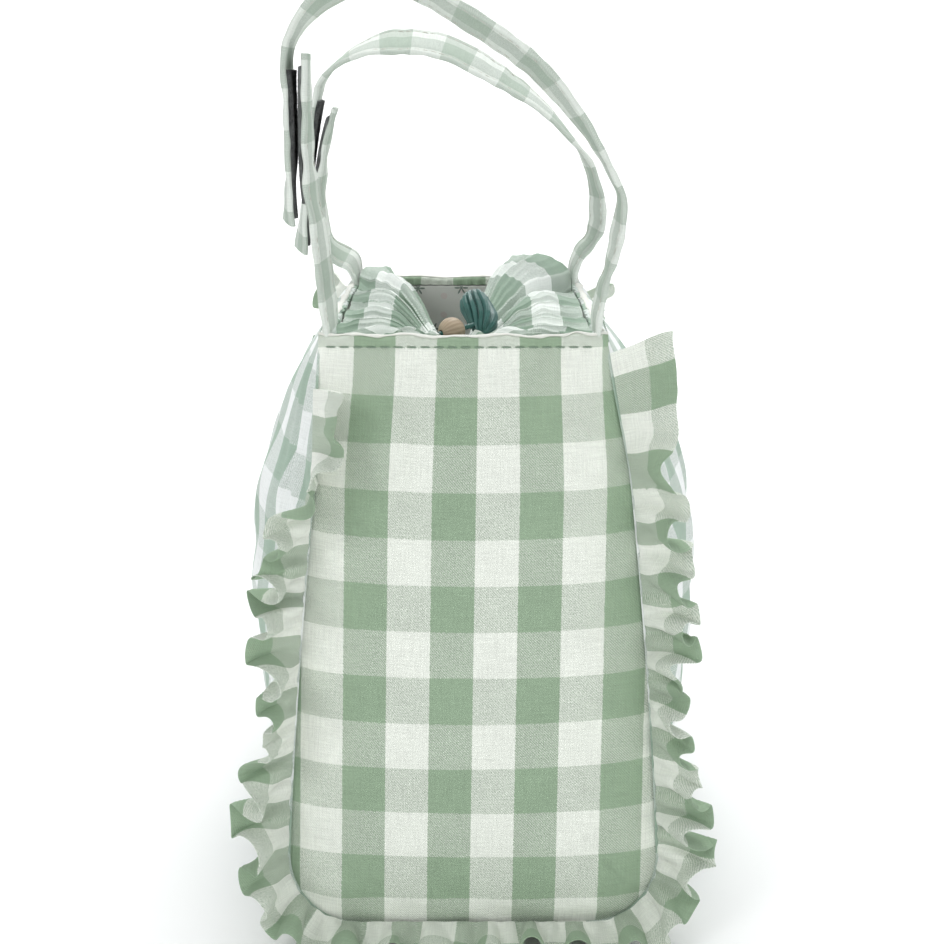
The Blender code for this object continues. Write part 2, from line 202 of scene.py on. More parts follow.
def add_slab(name, outer, inner, outer_uv, inner_uv, material):
    """A closed sheet between two grids of points."""
    rows, columns = outer.shape[:2]
    count = rows * columns
    points = np.concatenate([outer.reshape(-1, 3), inner.reshape(-1, 3)])
    uv = np.concatenate([outer_uv.reshape(-1, 2), inner_uv.reshape(-1, 2)])
    front = quads(rows, columns)
    back = quads(rows, columns, count)[:, ::-1]
    grid = np.arange(count).reshape(rows, columns)
    rim = np.concatenate([grid[0, :-1], grid[:-1, -1], grid[-1, :0:-1], grid[:0:-1, 0]])
    turned = np.roll(rim, -1)
    edge = np.stack([turned, rim, rim + count, turned + count], -1)
    faces = np.concatenate([front, back, edge])
    face_uv = uv[faces]
    side = face_uv[-len(edge) :]
    side[:, 2:] = side[:, 1::-1] + 0.04
    return add_mesh(name, points, faces, face_uv, material)


def add_sheet(name, points, uv, material, front=0.4 * MM, back=0.4 * MM):
    """A closed sheet round a middle surface."""
    normals = grid_normals(points)
    front, back = (np.asarray(side)[..., None] if np.ndim(side) else side for side in (front, back))
    return add_slab(name, points + normals * front, points - normals * back, uv, uv, material)


def loft_parts(rings, uv, start=0):
    """Points, faces and UVs of a solid through closed rings. uv has one more column than rings."""
    count, sides = rings.shape[:2]
    faces = quads(count, sides, start, wrap=True)
    wide = np.arange(count * (sides + 1)).reshape(count, sides + 1)
    corners = np.stack([wide[:-1, :-1], wide[:-1, 1:], wide[1:, 1:], wide[1:, :-1]], -1).reshape(-1, 4)
    return rings.reshape(-1, 3), faces, uv.reshape(-1, 2)[corners]


def ring_caps(rings, start=0):
    """Quads that close a solid's two ends by joining the opposite sides of its end rings."""
    count, sides = rings.shape[:2]
    caps = []
    for base, forward in ((start, False), (start + (count - 1) * sides, True)):
        for step in range(sides // 2 - 1):
            cap = [base + step, base + step + 1, base + sides - 2 - step, base + sides - 1 - step]
            caps.append(cap if forward else cap[::-1])
    return np.array(caps)


def add_loft(name, rings, uv, material):
    points, faces, face_uv = loft_parts(rings, uv)
    caps = ring_caps(rings)
    cap_uv = np.zeros((len(caps), 4, 2)) + uv[0, 0]
    return add_mesh(name, points, np.concatenate([faces, caps]), np.concatenate([face_uv, cap_uv]), material)


def add_threads(name, starts, ends, outs, material, radius=THREAD):
    """Short stitches: each a rounded run of thread that dips into the cloth at both ends."""
    sides, all_points, all_faces, all_uv = 6, [], [], []
    angles = 2 * np.pi * np.arange(sides) / sides
    profile = ((0.0, 0.35, -0.9), (0.12, 0.85, -0.1), (0.5, 1.0, 0.35), (0.88, 0.85, -0.1), (1.0, 0.35, -0.9))
    for start, end, out in zip(starts, ends, outs):
        way = unit(end - start)
        side = unit(np.cross(way, out))
        rings = []
        for share, size, lift in profile:
            centre = start + (end - start) * share + out * lift * radius
            spokes = np.cos(angles)[:, None] * side + np.sin(angles)[:, None] * out
            rings.append(centre + spokes * radius * size)
        rings = np.array(rings)
        uv = np.stack(np.meshgrid(np.linspace(0, 1, sides + 1), np.linspace(0, 1, len(profile))), -1)
        first = len(all_points) * sides * len(profile)
        points, faces, face_uv = loft_parts(rings, uv, first)
        caps = ring_caps(rings, first)
        all_points.append(points)
        all_faces += [faces, caps]
        all_uv += [face_uv, np.zeros((len(caps), 4, 2))]
    return add_mesh(name, np.concatenate(all_points), np.concatenate(all_faces), np.concatenate(all_uv), material)


def stitch_along(name, points, outs, material, pitch=STITCH_PITCH, gap=0.28, radius=THREAD):
    """A row of stitches along a line of points, with the outward way at each."""
    both = np.hstack([points, outs])
    fine, along = even_route(both, 0.4 * MM)
    lengths = np.concatenate([[0], np.cumsum(np.linalg.norm(np.diff(fine[:, :3], axis=0), axis=1))])
    count = int(lengths[-1] / pitch)
    starts, ends, ways = [], [], []
    for index in range(count):
        low, high = (index + gap / 2) * pitch, (index + 1 - gap / 2) * pitch
        at = [np.interp(where, lengths, fine[:, axis]) for where in (low, high, (low + high) / 2) for axis in range(6)]
        starts.append(at[0:3])
        ends.append(at[6:9])
        ways.append(unit(np.array(at[15:18])))
    return add_threads(name, np.array(starts), np.array(ends), np.array(ways), material, radius)


# ---------------------------------------------------------------- materials

class Graph:
    """A material's node tree, with short calls that make and link nodes."""

    def __init__(self, name):
        self.material = bpy.data.materials.new(name)
        self.material.use_nodes = True
        self.tree = self.material.node_tree
        self.shader = self.tree.nodes["Principled BSDF"]

    def node(self, kind, inputs=(), **settings):
        made = self.tree.nodes.new("ShaderNode" + kind)
        for key, value in settings.items():
            setattr(made, key, value)
        for key, value in dict(inputs).items():
            self.feed(made.inputs[key], value)
        return made

    def feed(self, socket, value):
        if isinstance(value, bpy.types.NodeSocket):
            self.tree.links.new(value, socket)
        elif isinstance(value, tuple) and len(value) == 3 and socket.type == "RGBA":
            socket.default_value = (*value, 1.0)
        else:
            socket.default_value = value

    def math(self, operation, first, second=0.0, third=0.0):
        return self.node("Math", {0: first, 1: second, 2: third}, operation=operation).outputs[0]

    def mix(self, share, first, second):
        made = self.node("Mix", data_type="RGBA")
        self.feed(made.inputs[0], share)
        self.feed(made.inputs[6], first)
        self.feed(made.inputs[7], second)
        return made.outputs[2]

    def vector(self, x, y, z=0.0):
        return self.node("CombineXYZ", {0: x, 1: y, 2: z}).outputs[0]

    def noise(self, vector, scale, detail=2.0, roughness=0.5):
        inputs = {"Vector": vector, "Scale": scale, "Detail": detail, "Roughness": roughness}
        return self.node("TexNoise", inputs).outputs["Fac"]

    def spread(self, value, low, high):
        """A value of 0 to 1 moved to low to high."""
        return self.math("MULTIPLY_ADD", value, high - low, low)

    def finish(self, colour, roughness, height=None, distance=0.2 * MM, strength=0.5, **settings):
        self.feed(self.shader.inputs["Base Color"], colour)
        self.feed(self.shader.inputs["Roughness"], roughness)
        for key, value in settings.items():
            self.feed(self.shader.inputs[key.replace("_", " ")], value)
        if height is not None:
            inputs = {"Height": height, "Distance": distance, "Strength": strength}
            self.feed(self.shader.inputs["Normal"], self.node("Bump", inputs).outputs[0])
        return self.material


def cloth_axes(graph):
    uv = graph.node("UVMap", uv_map="cloth").outputs[0]
    parts = graph.node("SeparateXYZ", {0: uv})
    return uv, parts.outputs[0], parts.outputs[1]


def gingham(name, green=SAGE, white=WHITE, strength=0.55, warp_green=None):
    """Checked cotton twill. UVs count checks: odd columns and odd rows have green threads."""
    graph = Graph(name)
    uv, u, v = cloth_axes(graph)
    fray_u = graph.spread(graph.noise(graph.vector(graph.math("MULTIPLY", u, 0.7), graph.math("MULTIPLY", v, 9.0)), 5.0), -0.035, 0.035)
    fray_v = graph.spread(graph.noise(graph.vector(graph.math("MULTIPLY", u, 9.0), graph.math("MULTIPLY", v, 0.7)), 5.0), -0.035, 0.035)
    column = graph.math("GREATER_THAN", graph.math("FRACT", graph.math("MULTIPLY", graph.math("ADD", u, fray_u), 0.5)), 0.5)
    row = graph.math("GREATER_THAN", graph.math("FRACT", graph.math("MULTIPLY", graph.math("ADD", v, fray_v), 0.5)), 0.5)
    warp_slub = graph.noise(graph.vector(graph.math("MULTIPLY", u, 34.0), graph.math("MULTIPLY", v, 1.6)), 1.0, 3.0)
    weft_slub = graph.noise(graph.vector(graph.math("MULTIPLY", u, 1.6), graph.math("MULTIPLY", v, 34.0), 7.0), 1.0, 3.0)
    wobble = graph.math("MULTIPLY", graph.noise(uv, 9.0), 2.2)
    diagonal = graph.math("MULTIPLY_ADD", graph.math("ADD", u, v), 17.0 * 2 * math.pi, wobble)
    twill = graph.spread(graph.math("SINE", diagonal), 0.5, 1.0)
    warp = graph.mix(column, white, warp_green or green)
    weft = graph.mix(row, white, green)
    speckle = graph.noise(uv, 30.0, 3.0, 0.8)
    share = graph.math("ADD", graph.spread(twill, 0.44, 0.88), graph.spread(speckle, -1.15, 1.15))
    share = graph.node("Clamp", {0: share}).outputs[0]
    woven = graph.mix(share, weft, warp)
    mixed = graph.math("ABSOLUTE", graph.math("SUBTRACT", column, row))
    slub = graph.math("ADD", warp_slub, weft_slub)
    shade = graph.math("MULTIPLY", graph.spread(slub, 0.76, 1.10), graph.spread(graph.noise(uv, 0.9), 0.93, 1.08))
    shade = graph.math("MULTIPLY", shade, graph.spread(speckle, 0.86, 1.13))
    shade = graph.math("MULTIPLY", shade, graph.spread(mixed, 1.0, 0.93))
    tone = graph.vector(shade, shade, shade)
    colour = graph.node("Mix", data_type="RGBA", blend_type="MULTIPLY")
    graph.feed(colour.inputs[0], 1.0)
    graph.feed(colour.inputs[6], woven)
    graph.feed(colour.inputs[7], tone)
    height = graph.math("ADD", graph.math("MULTIPLY", twill, 0.5), graph.math("MULTIPLY", slub, 0.9))
    roughness = graph.spread(slub, 0.74, 0.90)
    return graph.finish(colour.outputs[2], roughness, height, 0.22 * MM, strength, Sheen_Weight=0.12)


def lining_cloth(name):
    """Cream cotton with small six-armed sprigs and faint pink dots."""
    graph = Graph(name)
    uv, u, v = cloth_axes(graph)
    cells = graph.node("TexVoronoi", {"Vector": uv, "Scale": 0.85, "Randomness": 0.45}, voronoi_dimensions="2D")
    offset = graph.node("VectorMath", {0: uv, 1: cells.outputs["Position"]}, operation="SUBTRACT").outputs[0]
    parts = graph.node("SeparateXYZ", {0: offset})
    angle = graph.math("ARCTAN2", parts.outputs[1], parts.outputs[0])
    radius = graph.node("VectorMath", {0: offset}, operation="LENGTH").outputs["Value"]
    arms = graph.math("ABSOLUTE", graph.math("COSINE", graph.math("MULTIPLY", angle, 3.0)))
    reach = graph.math("MULTIPLY_ADD", graph.math("POWER", arms, 3.0), 0.17, 0.03)
    sprig = graph.math("LESS_THAN", radius, reach)
    dots = graph.node("TexVoronoi", {"Vector": uv, "Scale": 1.35, "Randomness": 0.9}, voronoi_dimensions="2D")
    dot = graph.math("LESS_THAN", dots.outputs["Distance"], 0.13)
    weave_u = graph.math("SINE", graph.math("MULTIPLY", u, 190.0))
    weave_v = graph.math("SINE", graph.math("MULTIPLY", v, 190.0))
    weave = graph.math("MULTIPLY", weave_u, weave_v)
    mottled = graph.mix(graph.noise(uv, 3.0), (0.90, 0.93, 0.86), (0.96, 0.98, 0.93))
    pinked = graph.mix(graph.math("MULTIPLY", dot, 0.30), mottled, (0.86, 0.66, 0.64))
    colour = graph.mix(graph.math("MULTIPLY", sprig, 0.85), pinked, (0.16, 0.24, 0.19))
    return graph.finish(colour, 0.85, graph.spread(weave, 0.3, 0.7), 0.12 * MM, 0.5, Sheen_Weight=0.1)


def satin(name):
    """Teal satin: fine threads along the folds, with a soft gloss."""
    graph = Graph(name)
    uv, u, v = cloth_axes(graph)
    threads = graph.noise(graph.vector(graph.math("MULTIPLY", u, 60.0), graph.math("MULTIPLY", v, 2.0)), 1.0, 3.0)
    patches = graph.noise(uv, 3.0)
    colour = graph.mix(graph.math("MULTIPLY", graph.math("ADD", threads, patches), 0.5), (0.003, 0.040, 0.034), (0.055, 0.20, 0.175))
    return graph.finish(colour, graph.spread(threads, 0.26, 0.46), threads, 0.1 * MM, 0.4, Sheen_Weight=0.2, Anisotropic=0.4)


def turned_wood(name):
    """Pale turned wood with fine grain along the bead."""
    graph = Graph(name)
    uv, u, v = cloth_axes(graph)
    grain = graph.noise(graph.vector(graph.math("MULTIPLY", u, 26.0), graph.math("MULTIPLY", v, 1.5)), 1.6, 5.0, 0.65)
    rings = graph.math("SINE", graph.math("MULTIPLY_ADD", grain, 9.0, graph.math("MULTIPLY", u, 30.0)))
    dark = graph.mix(graph.spread(rings, 0.35, 0.75), (0.30, 0.22, 0.14), (0.50, 0.39, 0.27))
    colour = graph.mix(graph.math("MULTIPLY", grain, 0.5), dark, (0.58, 0.48, 0.36))
    return graph.finish(colour, graph.spread(grain, 0.42, 0.62), grain, 0.15 * MM, 0.5)


def fibre_pile(name, dark, light, scale):
    """The tangled face of hook or loop tape, or of wadding."""
    graph = Graph(name)
    coordinates = graph.node("TexCoord").outputs["Object"]
    tangle = graph.noise(coordinates, scale, 6.0, 0.75)
    clumps = graph.noise(coordinates, scale * 0.22, 3.0)
    share = graph.spread(graph.math("MULTIPLY", tangle, clumps), -0.35, 2.6)
    colour = graph.mix(graph.node("Clamp", {0: share}).outputs[0], dark, light)
    return graph.finish(colour, graph.spread(clumps, 0.8, 1.0), tangle, 0.5 * MM, 0.9, Sheen_Weight=0.3)


def sewing_thread(name, colour):
    """Twisted thread: fine slanting plies."""
    graph = Graph(name)
    uv, u, v = cloth_axes(graph)
    plies = graph.math("SINE", graph.math("MULTIPLY", graph.math("MULTIPLY_ADD", u, 2.0, graph.math("MULTIPLY", v, 5.0)), 6.28))
    lit = tuple(min(channel * 1.25, 1.0) for channel in colour)
    shade = graph.mix(graph.spread(plies, 0.4, 0.8), tuple(channel * 0.72 for channel in colour), lit)
    return graph.finish(shade, graph.spread(plies, 0.55, 0.7), plies, 0.05 * MM, 0.5)


def stiff_board(name):
    """Off-white fibre board."""
    graph = Graph(name)
    coordinates = graph.node("TexCoord").outputs["Object"]
    flecks = graph.noise(coordinates, 900.0, 4.0, 0.7)
    colour = graph.mix(flecks, (0.55, 0.53, 0.48), (0.72, 0.70, 0.65))
    return graph.finish(colour, graph.spread(flecks, 0.7, 0.9), flecks, 0.1 * MM, 0.4)


GINGHAM = gingham("gingham_cotton", strength=0.8)
PALE_GINGHAM = gingham("side_gingham_cotton", (0.345, 0.455, 0.370), (0.83, 0.86, 0.845))
STRAP_GINGHAM = gingham("strap_gingham_cotton", (0.230, 0.315, 0.240), (0.70, 0.745, 0.69), warp_green=(0.45, 0.525, 0.45))
COLLAR_GINGHAM = gingham("collar_gingham_cotton", (0.270, 0.365, 0.285), (0.82, 0.86, 0.82))
LINING = lining_cloth("printed_lining")
SATIN = satin("teal_satin")
WOOD = turned_wood("turned_wood")
HOOKS = fibre_pile("hook_tape_pile", (0.012, 0.015, 0.014), (0.16, 0.17, 0.165), 1500.0)
LOOPS = fibre_pile("loop_tape_pile", (0.03, 0.035, 0.033), (0.26, 0.28, 0.27), 1300.0)
WADDING = fibre_pile("wadding_fibre", (0.55, 0.55, 0.53), (0.86, 0.86, 0.84), 700.0)
THREAD_SAGE = sewing_thread("sage_thread", (0.21, 0.30, 0.22))
THREAD_CREAM = sewing_thread("cream_thread", (0.66, 0.67, 0.60))
BOARD = stiff_board("base_board_fibre")


# ---------------------------------------------------------------- walls

LAYER_GAP = 0.3 * MM
CLOTH_THICKNESS = 0.8 * MM
LINING_DEPTH = 4.5 * MM
LINING_THICKNESS = 0.6 * MM
LINING_INSET = 4.7 * MM
SEAM_TUCK = 1.9 * MM
EDGE_ROLL = 4.2 * MM
ROLL_REACH = 7.5 * MM
BELLY = 3.5 * MM


def edge_distance(x, height):
    """How far a point of a panel is from its side and bottom seams."""
    width = outline(RIM - np.maximum(height, CORNER))[0]
    side = width - np.abs(x)
    round_part = CORNER - np.hypot(np.maximum(np.abs(x) - CORNER_X, 0), CORNER - height)
    return np.where(height < CORNER, np.minimum(side, round_part), side)


def panel_relief(x, height, seed):
    """How far a front or back panel stands out past its flat place."""
    distance = np.maximum(edge_distance(x, height), 0)
    rolled = 1 - np.exp(-distance / ROLL_REACH)
    calm = 1 - 0.86 * blend_step(RIM - 26 * MM, RIM - HEM, height)
    relief = EDGE_ROLL * rolled * calm - SEAM_TUCK * calm
    across = x / outline(RIM - np.maximum(height, CORNER))[0]
    relief += BELLY * (1 - across**2) * np.sin(np.pi * np.clip(height / RIM, 0, 1)) ** 0.8
    pucker = np.exp(-distance / (6 * MM)) * rolled
    relief += 1.1 * MM * pucker * wander(height, 11 * MM, seed, x, 25 * MM) * calm
    relief += 0.35 * MM * wander(height, 60 * MM, seed + 1, x, 90 * MM) * calm
    relief += 0.12 * MM * wander(height, 16 * MM, seed + 2, x, 30 * MM) * calm
    return relief


def front_dents(x, height):
    """The front panel's own marks: a soft upright dent near the top and a crease low down."""
    dent = hump(x, -23 * MM - 0.05 * (RIM - height), 4.5 * MM) * hump(height, 168 * MM, 17 * MM)
    along = (x - 46 * MM) * 0.62 - (height - 25 * MM) * 0.78
    across = (x - 46 * MM) * 0.78 + (height - 25 * MM) * 0.62
    crease = hump(across, 0, 1.0 * MM) * blend_step(-2 * MM, 3 * MM, along) * (1 - blend_step(9 * MM, 15 * MM, along))
    fold = hump(across, 2.6 * MM, 1.8 * MM) * hump(along, 7 * MM, 7 * MM)
    lump = hump(x, -47 * MM, 9 * MM) * hump(height, 13 * MM, 7 * MM)
    return -1.5 * MM * dent - 1.0 * MM * crease + 0.5 * MM * fold + 1.6 * MM * lump


def panel_points(facing, rows, columns, inset=0.0, start=HEM):
    """A front (facing -1) or back panel's grid: x before sway, and height. facing is not used."""
    straight_rows = int(rows * 0.72)
    down = np.concatenate(
        [np.linspace(start, STRAIGHT, straight_rows, endpoint=False), np.linspace(STRAIGHT, OUTLINE_LENGTH, rows - straight_rows)]
    )
    width, height, out_x, out_z = outline(down)
    width = width - out_x * inset
    height = height - out_z * inset
    share = np.linspace(-1, 1, columns)
    share = share * (1.25 - 0.25 * share**2)
    x = width[:, None] * share[None, :]
    return x, np.broadcast_to(height[:, None], x.shape)


def check_uv(x, height, column_lean=0.016, dip=1.6 * MM):
    width = outline(RIM - np.maximum(height, CORNER))[0]
    squeeze = 1 - 0.06 * blend_step(150 * MM, 200 * MM, height)
    u = (x + sway(height) - COLUMN_START - column_lean * (height - 130 * MM)) / (CHECK * squeeze)
    v = (height - ROW_START + dip * (1 - (x / width) ** 2)) / CHECK_HEIGHT
    return np.stack([u, v], -1)


def add_panel(name, facing):
    """A puffed outer panel, its wadding and its lining."""
    seed = 11 if facing < 0 else 51
    x, height = panel_points(facing, 150, 120)
    relief = panel_relief(x, height, seed)
    if facing < 0:
        relief = relief + front_dents(x, height)
    outer_y = half_depth(height) + relief
    outer = stack(x + sway(height), facing * outer_y, height)
    inner = stack(x + sway(height), facing * (outer_y - CLOTH_THICKNESS), height)
    uv = check_uv(x if facing < 0 else -x, height)
    panel = add_slab(f"{name}_gingham_panel", outer, inner, uv, uv, GINGHAM)
    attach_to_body(panel, "bag")
    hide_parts(f"{name}_panel")

    x, height = panel_points(facing, 60, 48, inset=1.2 * MM)
    outer_y = half_depth(height) + panel_relief(x, height, seed) - CLOTH_THICKNESS - 0.6 * MM
    if facing < 0:
        outer_y = outer_y + np.minimum(front_dents(x, height), 0)
    inner_y = half_depth(height) - LINING_DEPTH + LAYER_GAP
    outer_y = np.maximum(outer_y, inner_y + 0.4 * MM)
    outer = stack(x + sway(height), facing * outer_y, height)
    inner = stack(x + sway(height), facing * inner_y, height)
    uv = np.stack([x, height], -1) / CHECK
    pad = add_slab(f"{name}_wadding_pad", outer, inner, uv, uv, WADDING)
    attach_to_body(pad, "bag")
    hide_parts(f"{name}_wadding")

    x, height = panel_points(facing, 80, 60, inset=LINING_INSET)
    waves = 0.3 * MM * wander(x, 24 * MM, seed + 5, height, 50 * MM)
    waves = waves * blend_step(0, 8 * MM, edge_distance(x, height) - LINING_INSET)
    outer_y = half_depth(height) - LINING_DEPTH
    inner_y = outer_y - LINING_THICKNESS + np.minimum(waves, 0)
    outer = stack(x + sway(height), facing * outer_y, height)
    inner = stack(x + sway(height), facing * inner_y, height)
    uv = np.stack([x - 14 * MM, height - 4 * MM], -1) / CHECK
    lining = add_slab(f"{name}_printed_lining", outer, inner, uv, uv, LINING)
    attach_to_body(lining, "bag")
    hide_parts(f"{name}_lining")


def side_relief(depth, height, seed):
    """Soft folds along the seams of a side wall, and slanting ones across its middle."""
    from_seam = half_depth(height) - np.abs(depth)
    near = hump(from_seam, 20 * MM, 17 * MM) * blend_step(0, 6 * MM, from_seam)
    upright = np.sin(2 * np.pi * from_seam / (12 * MM) + 1.4 * wander(height, 90 * MM, seed))
    shelf = blend_step(0, 14 * MM, RIM - HEM - height) * blend_step(0, 18 * MM, height)
    relief = 1.15 * MM * near * upright * shelf
    slanting = np.sin(2 * np.pi * (0.8 * depth + 0.75 * height) / (34 * MM) + 2.0 * wander(depth, 120 * MM, seed + 1))
    relief += 0.8 * MM * slanting * shelf * hump(height, 120 * MM, 70 * MM) * blend_step(0, 22 * MM, from_seam)
    relief += 0.3 * MM * wander(depth, 22 * MM, seed + 2, height, 30 * MM) * shelf * blend_step(0, 5 * MM, from_seam)
    return relief


def side_grid(side, rows, columns, start=HEM, margin=0.3 * MM):
    straight_rows = int(rows * 0.74)
    down = np.concatenate(
        [np.linspace(start, STRAIGHT, straight_rows, endpoint=False), np.linspace(STRAIGHT, OUTLINE_LENGTH, rows - straight_rows)]
    )[:, None]
    share = np.linspace(-1, 1, columns)[None, :]
    share = share * (1.2 - 0.2 * share**2)
    width, height, out_x, out_z = outline(down)
    depth = share * (half_depth(height) - margin)
    swell = bulge(height) * np.cos(0.5 * np.pi * depth / half_depth(height))
    return width + swell, depth, height * np.ones_like(depth), out_x, out_z, down


def add_side(name, side):
    """A swelling side wall, its wadding and its lining."""
    seed = 71 if side < 0 else 91
    x, depth, height, out_x, out_z, down = side_grid(side, 130, 150)
    relief = side_relief(depth, height, seed)
    outer = stack(side * (x + out_x * relief) + sway(height), depth, height + out_z * relief)
    inner = stack(
        side * (x + out_x * (relief - CLOTH_THICKNESS)) + sway(height), depth, height + out_z * (relief - CLOTH_THICKNESS)
    )
    outer[..., 2] = np.maximum(outer[..., 2], 0.0)
    uv = np.stack([side * depth / CHECK + 0.3, -down / CHECK + 0.9 + 0 * depth], -1)
    wall = add_slab(f"{name}_gingham_side", outer, inner, uv, uv, PALE_GINGHAM)
    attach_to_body(wall, "bag")
    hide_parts(f"{name}_side_panel")
    layers = (
        ("wadding_pad", "wadding", 2.6 * MM, LINING_DEPTH - LAYER_GAP, 6.0 * MM, WADDING, "wadding"),
        ("printed_lining", "lining", LINING_DEPTH, LINING_DEPTH + LINING_THICKNESS, 6.6 * MM, LINING, "lining"),
    )
    for label, node, near, far, margin, material, slot in layers:
        x, depth, height, out_x, out_z, down = side_grid(side, 60, 64, margin=margin)
        outer = stack(side * (x - out_x * near) + sway(height), depth, height - out_z * near)
        inner = stack(side * (x - out_x * far) + sway(height), depth, height - out_z * far)
        uv = np.stack([depth / CHECK, down / CHECK + 0 * depth], -1)
        layer = add_slab(f"{name}_{label}", outer, inner, uv, uv, material)
        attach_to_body(layer, "bag")
        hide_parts(f"{name}_{node}")


def add_base():
    """The base: outer cloth, board and lining."""
    layers = (
        ("base_gingham", "base_panel", 0.0, CLOTH_THICKNESS, 1.3 * MM, GINGHAM, "gingham"),
        ("base_stiffener", "base_board", 1.1 * MM, 3.1 * MM, 5.2 * MM, BOARD, "board"),
        ("base_printed_lining", "base_lining", 3.4 * MM, 4.0 * MM, 6.3 * MM, LINING, "lining"),
    )
    for name, node, low, high, margin, material, slot in layers:
        x, y = np.meshgrid(
            np.linspace(-CORNER_X + 0.3 * MM, CORNER_X - 0.3 * MM, 40), np.linspace(-1, 1, 90) * (BASE_HALF_DEPTH - margin)
        )
        ripple = 0.0
        if node != "base_board":
            ripple = 0.12 * MM * (1 + wander(x, 30 * MM, 7, y, 40 * MM) / 2.5)
        down = low + (ripple if node == "base_panel" else 0.0) * blend_step(0, 6 * MM, CORNER_X - np.abs(x))
        up = high + (ripple if node == "base_lining" else 0.0) + 0 * x
        uv = np.stack([x, y], -1) / CHECK
        layer = add_slab(name, stack(x + BASE_SWAY, y, up), stack(x + BASE_SWAY, y, down + 0 * x), uv, uv, material)
        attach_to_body(layer, "bag")
        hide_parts(node)


# ---------------------------------------------------------------- rim

HEM_PROFILE = (
    # (how far out past the wall's face, height above the stitched line), outer foot to inner foot
    (0.10, 0.0),
    (0.55, 0.9),
    (0.75, 2.0),
    (0.45, 3.1),
    (-0.35, 3.9),
    (-1.40, 4.15),
    (-2.60, 4.05),
    (-3.70, 3.6),
    (-4.30, 2.4),
    (-4.70, 0.6),
    (-3.00, 0.2),
    (-1.20, 0.1),
)


def add_hems():
    """The turned-over top edge of each wall, its pale inner lip and its stitches."""
    foot = RIM - HEM + 0.0 * MM
    for name, facing in (("front", -1.0), ("back", 1.0)):
        share = np.linspace(-1, 1, 150)
        x = share * (RIM_HALF_WIDTH + 0.4 * MM)
        seed = 31 if facing < 0 else 35
        rings, uvs = [], []
        edge = panel_relief(x * 0.995, np.full_like(x, foot), 11 if facing < 0 else 51)
        sag = -0.7 * MM * (1 - share**2) + 0.35 * MM * wander(x, 22 * MM, seed)
        frayed = hump(share, 0.8, 0.13) * (1.0 if facing < 0 else 0.3)
        for index, spot in enumerate(x):
            swell = 1 + 0.14 * math.sin(2 * math.pi * spot / STITCH_PITCH)
            ring, line = [], []
            length = 0.0
            for step, (out, up) in enumerate(HEM_PROFILE):
                out = out * swell * MM + edge[index] - 0.1 * MM
                rise = up * MM * (1 + 0.18 * frayed[index] * math.sin(spot / (1.9 * MM)))
                rise += sag[index] * (up / 4.15)
                height = foot + rise
                ring.append((spot + sway(RIM), facing * (half_depth(height) + out), height))
                line.append((-facing * spot, length))
                length += 1.0 * MM
            uv = [((px + RIM_SWAY - COLUMN_START - 1.2 * MM) / (0.94 * CHECK), 1.0 + v / CHECK_HEIGHT) for px, v in line]
            uv.append((uv[0][0], 1.0 + length / CHECK_HEIGHT))
            rings.append(ring)
            uvs.append(uv)
        hem = add_loft(f"{name}_rim_hem", np.array(rings), np.array(uvs), GINGHAM)
        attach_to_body(hem, "bag")
        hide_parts(f"{name}_hem")
        line = np.array([ring[0] for ring in rings]) + np.array([0, -facing * 0.0, 0.15 * MM])
        line[:, 1] += facing * 0.35 * MM
        outs = np.tile([0.0, facing, 0.05], (len(line), 1))
        stitches = stitch_along(f"{name}_rim_stitches", line[3:-3], outs[3:-3], THREAD_SAGE)
        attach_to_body(stitches, "bag")
        top = np.array([[ring[5][0], ring[5][1], ring[5][2] + 0.15 * MM] for ring in rings])
        add_lip(f"{name}_lining_lip", top, np.array([0.0, 1.0, 0.0]))
    for name, side in (("left", -1.0), ("right", 1.0)):
        depth = np.linspace(-1, 1, 150) * (half_depth(RIM) - 5.4 * MM)
        rings, uvs = [], []
        sag = 0.5 * MM * wander(depth, 34 * MM, 41 if side < 0 else 43)
        for index, spot in enumerate(depth):
            ring, uv = [], []
            swell = 1 + 0.14 * math.sin(2 * math.pi * spot / STITCH_PITCH)
            for step, (out, up) in enumerate(HEM_PROFILE):
                rise = up * MM + sag[index] * (up / 4.15)
                height = min(foot + rise, RIM)
                wide = bulge(np.array(height)) * math.cos(0.5 * math.pi * spot / half_depth(height))
                reach = outline(RIM - height)[0] + wide + out * swell * MM - 0.2 * MM
                ring.append((side * reach + sway(RIM), spot, foot + rise))
                uv.append((side * spot / CHECK + 0.3, 0.6 + step * MM / CHECK))
            uv.append((uv[0][0], 0.6 + len(HEM_PROFILE) * MM / CHECK))
            rings.append(ring)
            uvs.append(uv)
        hem = add_loft(f"{name}_rim_hem", np.array(rings), np.array(uvs), PALE_GINGHAM)
        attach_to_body(hem, "bag")
        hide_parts(f"{name}_hem")
        line = np.array([ring[0] for ring in rings]) + np.array([side * 0.45 * MM, 0, 0.15 * MM])
        outs = np.tile([side, 0.0, 0.05], (len(line), 1))
        stitches = stitch_along(f"{name}_rim_stitches", line[3:-3], outs[3:-3], THREAD_SAGE)
        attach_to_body(stitches, "bag")
        top = np.array([[ring[5][0], ring[5][1], ring[5][2] + 0.15 * MM] for ring in rings])
        add_lip(f"{name}_lining_lip", top, np.array([1.0, 0.0, 0.0]))


def add_lip(name, line, side):
    """The lining's pale fold, which shows as a thin roll along the top of a hem."""
    sides = 10
    angles = 2 * np.pi * np.arange(sides) / sides
    along = np.linspace(0, 1, len(line))
    size = (0.75 + 0.15 * wander(along, 0.12, 5))[:, None, None] * MM
    spokes = np.cos(angles)[:, None] * side * 1.5 + np.sin(angles)[:, None] * np.array([0, 0, 0.62])
    rings = line[:, None, :] + size * spokes[None]
    uv = np.stack(np.meshgrid(np.linspace(0, 0.3, sides + 1), along * 8), -1)
    lip = add_loft(name, rings, uv, LINING_EDGE)
    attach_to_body(lip, "bag")


